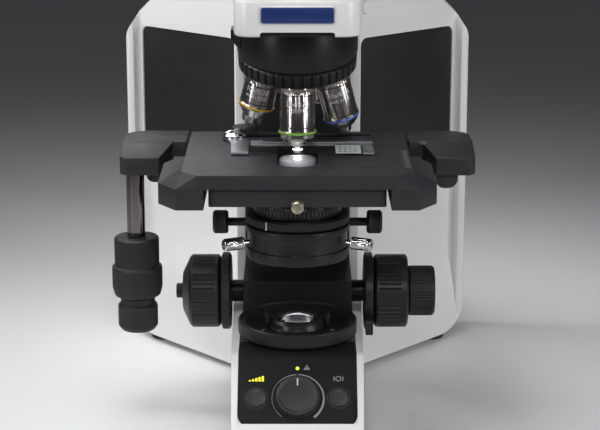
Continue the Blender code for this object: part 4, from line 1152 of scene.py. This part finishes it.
# slide holder, slide
hb = prism("holder_bar", [(-32.6, 13.6, 0.6), (44.2, 13.6), (44.2, -13.5, 1.0), (52.5, -13.5, 2.5), (52.5, 24, 1.0), (-32.6, 24, 1.0)],
           199.35, 200.9, 'Z', "holder", 0.3, 2)
top_ = prism("holder_ridge", [(-32.4, 17.5, 0.6), (52.3, 17.5, 0.6), (52.3, 23.6, 0.6), (-32.4, 23.6, 0.6)], 200.8, 201.6, 'Z', "holder", 0.25, 2)
hs = merge("specimen_holder", [hb, top_])
stand_in(hs, "slide_holder")
for k, xx in enumerate((-22.0, -25.0)):
    extra(screw_head("holder_screw_%d" % k, (xx, 27.0 + 7 * k, 199.0), (0, 0, 1), 1.3, "chrome", 0.8), "slide_holder")
fg = prism("spring_finger", [(-50, 34, 3), (-46.5, 20, 4), (-45, -14, 1.2), (-33.3, -14, 1.2), (-33.3, 26, 2), (-38, 34, 2), (-38, 46, 5), (-50, 46, 5)],
           199.35, 201.4, 'Z', "holder", 0.35, 2)
fp = lathe("fp", [(0, 206.6), (3.6, 206.2, 1), (6.8, 204.6, 1), (8.6, 202.8, 0.4), (8.6, 200, 0.3), (0, 200)], (-44.4, 39.5, 0), (0, 0, 1), "chrome", seg=64)
fs = merge("finger_set", [fg, fp])
stand_in(fs, "slide_holder_finger")
gs = box3("slide", -32.2, 43.8, -13, 13.2, 199.4, 200.4, "slide_glass", 0.08, 1)
stand_in(gs, "glass_slide")
lb = box3("slide_label", 26.0, 43.4, -12.7, 12.9, 200.42, 200.55, "label")
extra(lb, "glass_slide")
dots = []
for k in range(4):
    for j in range(3):
        dots.append(box3("d", 28 + 3.4 * k, 30.2 + 3.4 * k, -9 + 7 * j, -5.5 + 7 * j, 200.55, 200.6, "label_green" if k > 1 else "ink_dim"))
extra(merge("label_marks", dots), "glass_slide")
cg = box3("cover_glass", -9.0, 9.0, -9.0, 9.0, 200.42, 200.58, "slide_glass")
extra(cg, "glass_slide")

scs = lathe("clamp_screw", [(0, 0), (2.4, 0), (2.4, -2), (4.0, -2, 0.3), (4.2, -2.6), (4.2, -7.6, 0.4), (3.4, -9, 0.4), (2.2, -9), (2.0, -8.4), (0, -8.4)],
            (0, -70.4, 178.5), (0, 1, 0), "brass", seg=96, ribs=[(-7.4, -2.8, 24, 0.3, saw, 4)])
stand_in(scs, "stage_clamp_screw")

# drive handle
H = (-115.0, 38.0, 0)
sh = lathe("handle_sleeve", [(0, 175.6), (6.5, 175.6), (6.5, 129.8, 0.3), (3.0, 129.6), (3.0, 60.6), (0, 60.6)], H, (0, 0, 1), "sleeve", seg=72)
stand_in(sh, "stage_drive_shaft")
yk = lathe("y_grip", [(14.6, 129.0, 0.4), (16.0, 127.8, 0.8), (15.9, 108.4, 0.3), (16.6, 107.6, 0.3), (17.6, 107.4, 0.6), (18.0, 106.0, 0.8),
                      (17.9, 92.0, 3), (16.4, 86.2, 2), (13.0, 84.3, 0.5), (3.4, 84.3), (3.4, 129.0)], H, (0, 0, 1), "rubber", seg=240,
           ribs=[(109.4, 126.4, 80, 0.22, groove(0.5, 0.3), 6), (90.0, 105.0, 80, 0.16, groove(0.5, 0.3), 6)])
stand_in(yk, "y_drive_knob")
xk = lathe("x_grip", [(12.3, 83.9), (12.3, 80.4, 0.8), (13.9, 78.6, 0.5), (14.25, 77.4, 0.6), (14.25, 63.4, 2.4), (11.8, 60.0, 1.6), (3.4, 60.0), (3.4, 83.9)],
           H, (0, 0, 1), "rubber", seg=240, ribs=[(64.6, 76.4, 72, 0.16, groove(0.5, 0.3), 6)])
stand_in(xk, "x_drive_knob")

# ============================================================== condenser
ch = lathe("condenser_cell", [(36.0, 149.4, 0.6), (36.0, 145.2, 0.5), (34.6, 144.6, 0.3), (34.6, 134.0, 0.3), (35.8, 133.2, 0.5), (35.8, 126.2, 0.8),
                              (30.6, 126.0), (30.6, 149.4)], (0, 0, 0), (0, 0, 1), "black", seg=120, local=False)
boolean(ch, box3("c", -20, 20, 33.6, 47.0, 126.0, 149.4), 'UNION')
stand_in(ch, "condenser_holder")
cb = lathe("condenser_tower", [(0, 190.0), (12.4, 190.0), (13.0, 188.5, 0.3), (19.6, 186.6, 0.5), (20.0, 185.6, 0.3), (20.0, 176.4, 0.5), (22.0, 175.0),
                               (30.2, 167.2, 0.6), (30.5, 165.6, 0.3), (30.5, 157.5), (28.2, 157.5), (28.2, 151.0), (30.2, 149.6), (30.2, 128.4, 0.6),
                               (27.0, 127.2, 0.6), (24.0, 127.2), (22.5, 129.5), (0, 129.5)], (0, 0, 0), (0, 0, 1), "black", seg=120)
stand_in(cb, "condenser_body")
glb = lathe("condenser_rear_glass", [(0, 128.6), (14, 129.0), (22.0, 129.9), (0, 130.2)], (0, 0, 0), (0, 0, 1), "lens", seg=60, angle=60)
extra(glb, "condenser_body")
ar = lathe("aperture_grip", [(34.6, 157.1, 0.4), (36.0, 155.9, 0.6), (36.0, 151.3, 0.6), (34.2, 149.9, 0.3), (30.9, 149.9), (28.6, 152.0), (28.6, 157.1)],
           (0, 0, 0), (0, 0, 1), "plastic", seg=540, ribs=[(151.5, 155.7, 90, 0.35, groove(0.45, 0.2), 6)])
stand_in(ar, "condenser_aperture_ring")
fm5 = frame_at((0, 0, 0), (0, 0, 1), (1, 0, 0))
mk = prism("m", [(-0.55, -2.9), (0.55, -2.9), (0.55, 2.9), (-0.55, 2.9)], 0, 0.12, frame_m=Matrix.Identity(4), mat="ink")
wrap_on(mk, 36.0, fm5, z=153.4, turn=math.radians(-126), outward=0.0)
mk.name = "aperture_mark"
extra(mk, "condenser_aperture_ring")
# scale on the condenser's cone: short lines and numbers
sc = []
for k in range(26):
    a = math.radians(-160 + 5.6 * k)
    t = prism("m", [(-0.12, -1.5 if k % 5 else -2.4), (0.12, -1.5 if k % 5 else -2.4), (0.12, 1.5), (-0.12, 1.5)], 0, 0.08, frame_m=Matrix.Identity(4), mat="ink_dim")
    wrap_on(t, 30.55, fm5, z=161.4, turn=a)
    sc.append(t)
for k, lab in enumerate(("0.9", "0.7", "0.5", "0.3", "0.2", "0.1")):
    a = math.radians(-148 + 22.4 * k)
    t = tri_text("t", lab, 2.4, "ink_dim", 0.08)
    wrap_on(t, 30.55, fm5, z=164.9 - 0.4, turn=a)
    sc.append(t)
extra(merge("condenser_scale", sc), "condenser_body")
# painted light: the top lens is opaque near-white, standing in for the lamp light shining up through the glass
cl = lathe("condenser_glass", [(0, 196.2), (5, 195.9), (9.6, 195.2), (12.6, 194.4, 0.8), (13.2, 193.0, 0.4), (13.2, 190.6), (0, 190.6)], (0, 0, 0), (0, 0, 1),
           "lens_painted_lit", seg=72, angle=50)
stand_in(cl, "condenser_top_lens")
# painted light: the specimen glows, standing in for the lamp light that shines up through the slide
spm = lathe("painted_lit_specimen", [(0, 201.0), (2.2, 200.9), (3.3, 200.62), (3.3, 200.58), (0, 200.58)], (0, 0, 0), (0, 0, 1), None, seg=32)
spm.data.materials.append(glow("painted_glow_specimen", (1.0, 0.90, 0.86), 7.0))
extra(spm, "glass_slide")
gk = lathe("guide_knob", [(0, 205.6), (6.4, 205.6, 0.6), (9.2, 205.0, 0.8), (9.2, 200.6, 0.5), (8.4, 199.3), (0, 199.3)],
           (-38.0, 57.5, 0), (0, 0, 1), "plastic", seg=160, ribs=[(201.0, 204.6, 32, 0.35, groove(0.45, 0.2), 5)])
extra(gk, "slide_holder")
gp = prism("holder_bracket", [(29.5, 23.8), (52.2, 23.8), (52.2, 40, 2), (33.5, 40, 2)], 199.35, 201.5, 'Z', "stage", 0.4, 2)
extra(gp, "slide_holder")
gb2 = prism("guide_bar", [(-50, 47.8, 1), (52, 47.8, 1), (52, 53.6, 1), (-50, 53.6, 1)], 199.3, 201.9, 'Z', "black", 0.5, 2)
extra(gb2, "slide_holder")
lip = hull3("nose_lip", [(-45.6, 14, 281), (-45.6, 32, 281), (-45.6, 14, 273), (-45.6, 32, 271), (-39, 8, 281), (-39, 36, 281),
                         (-39, 8, 268), (-39, 36, 266)], "black", 0.8, 2)
extra(lip, "nosepiece_mount")
for s, tag in ((-1, "left"), (1, "right")):
    d = Vector((s * 0.9, -0.436, 0)).normalized()
    st = d * 36.9
    cs = lathe("centring_screw_" + tag, [(0, 0), (2, 0), (2, -4), (3.8, -4, 0.3), (4.4, -4.8, 0.2), (4.4, -17.8, 0.6), (3.4, -19, 0.3), (1.8, -19), (1.6, -18), (0, -18)],
               (st.x, st.y, 139.0), -d, "chrome", seg=96, ribs=[(-16.8, -5.6, 24, 0.22, saw, 4)])
    stand_in(cs, "condenser_screw_" + tag)
hsft = lathe("height_shaft", [(0, 61), (7.0, 61, 0.8), (8.5, 59.6, 0.6), (8.5, 51.4, 0.6), (7.5, 50), (3, 50), (3, -50), (7.5, -50), (8.5, -51.4, 0.6), (8.5, -59.6, 0.6),
                              (7.0, -61, 0.8), (0, -61)], (0, 54, 135.5), KX, "plastic", seg=160,
             ribs=[(52.0, 59.2, 32, 0.4, saw, 5), (-59.2, -52.0, 32, 0.4, saw, 5)])
stand_in(hsft, "condenser_height_shaft")
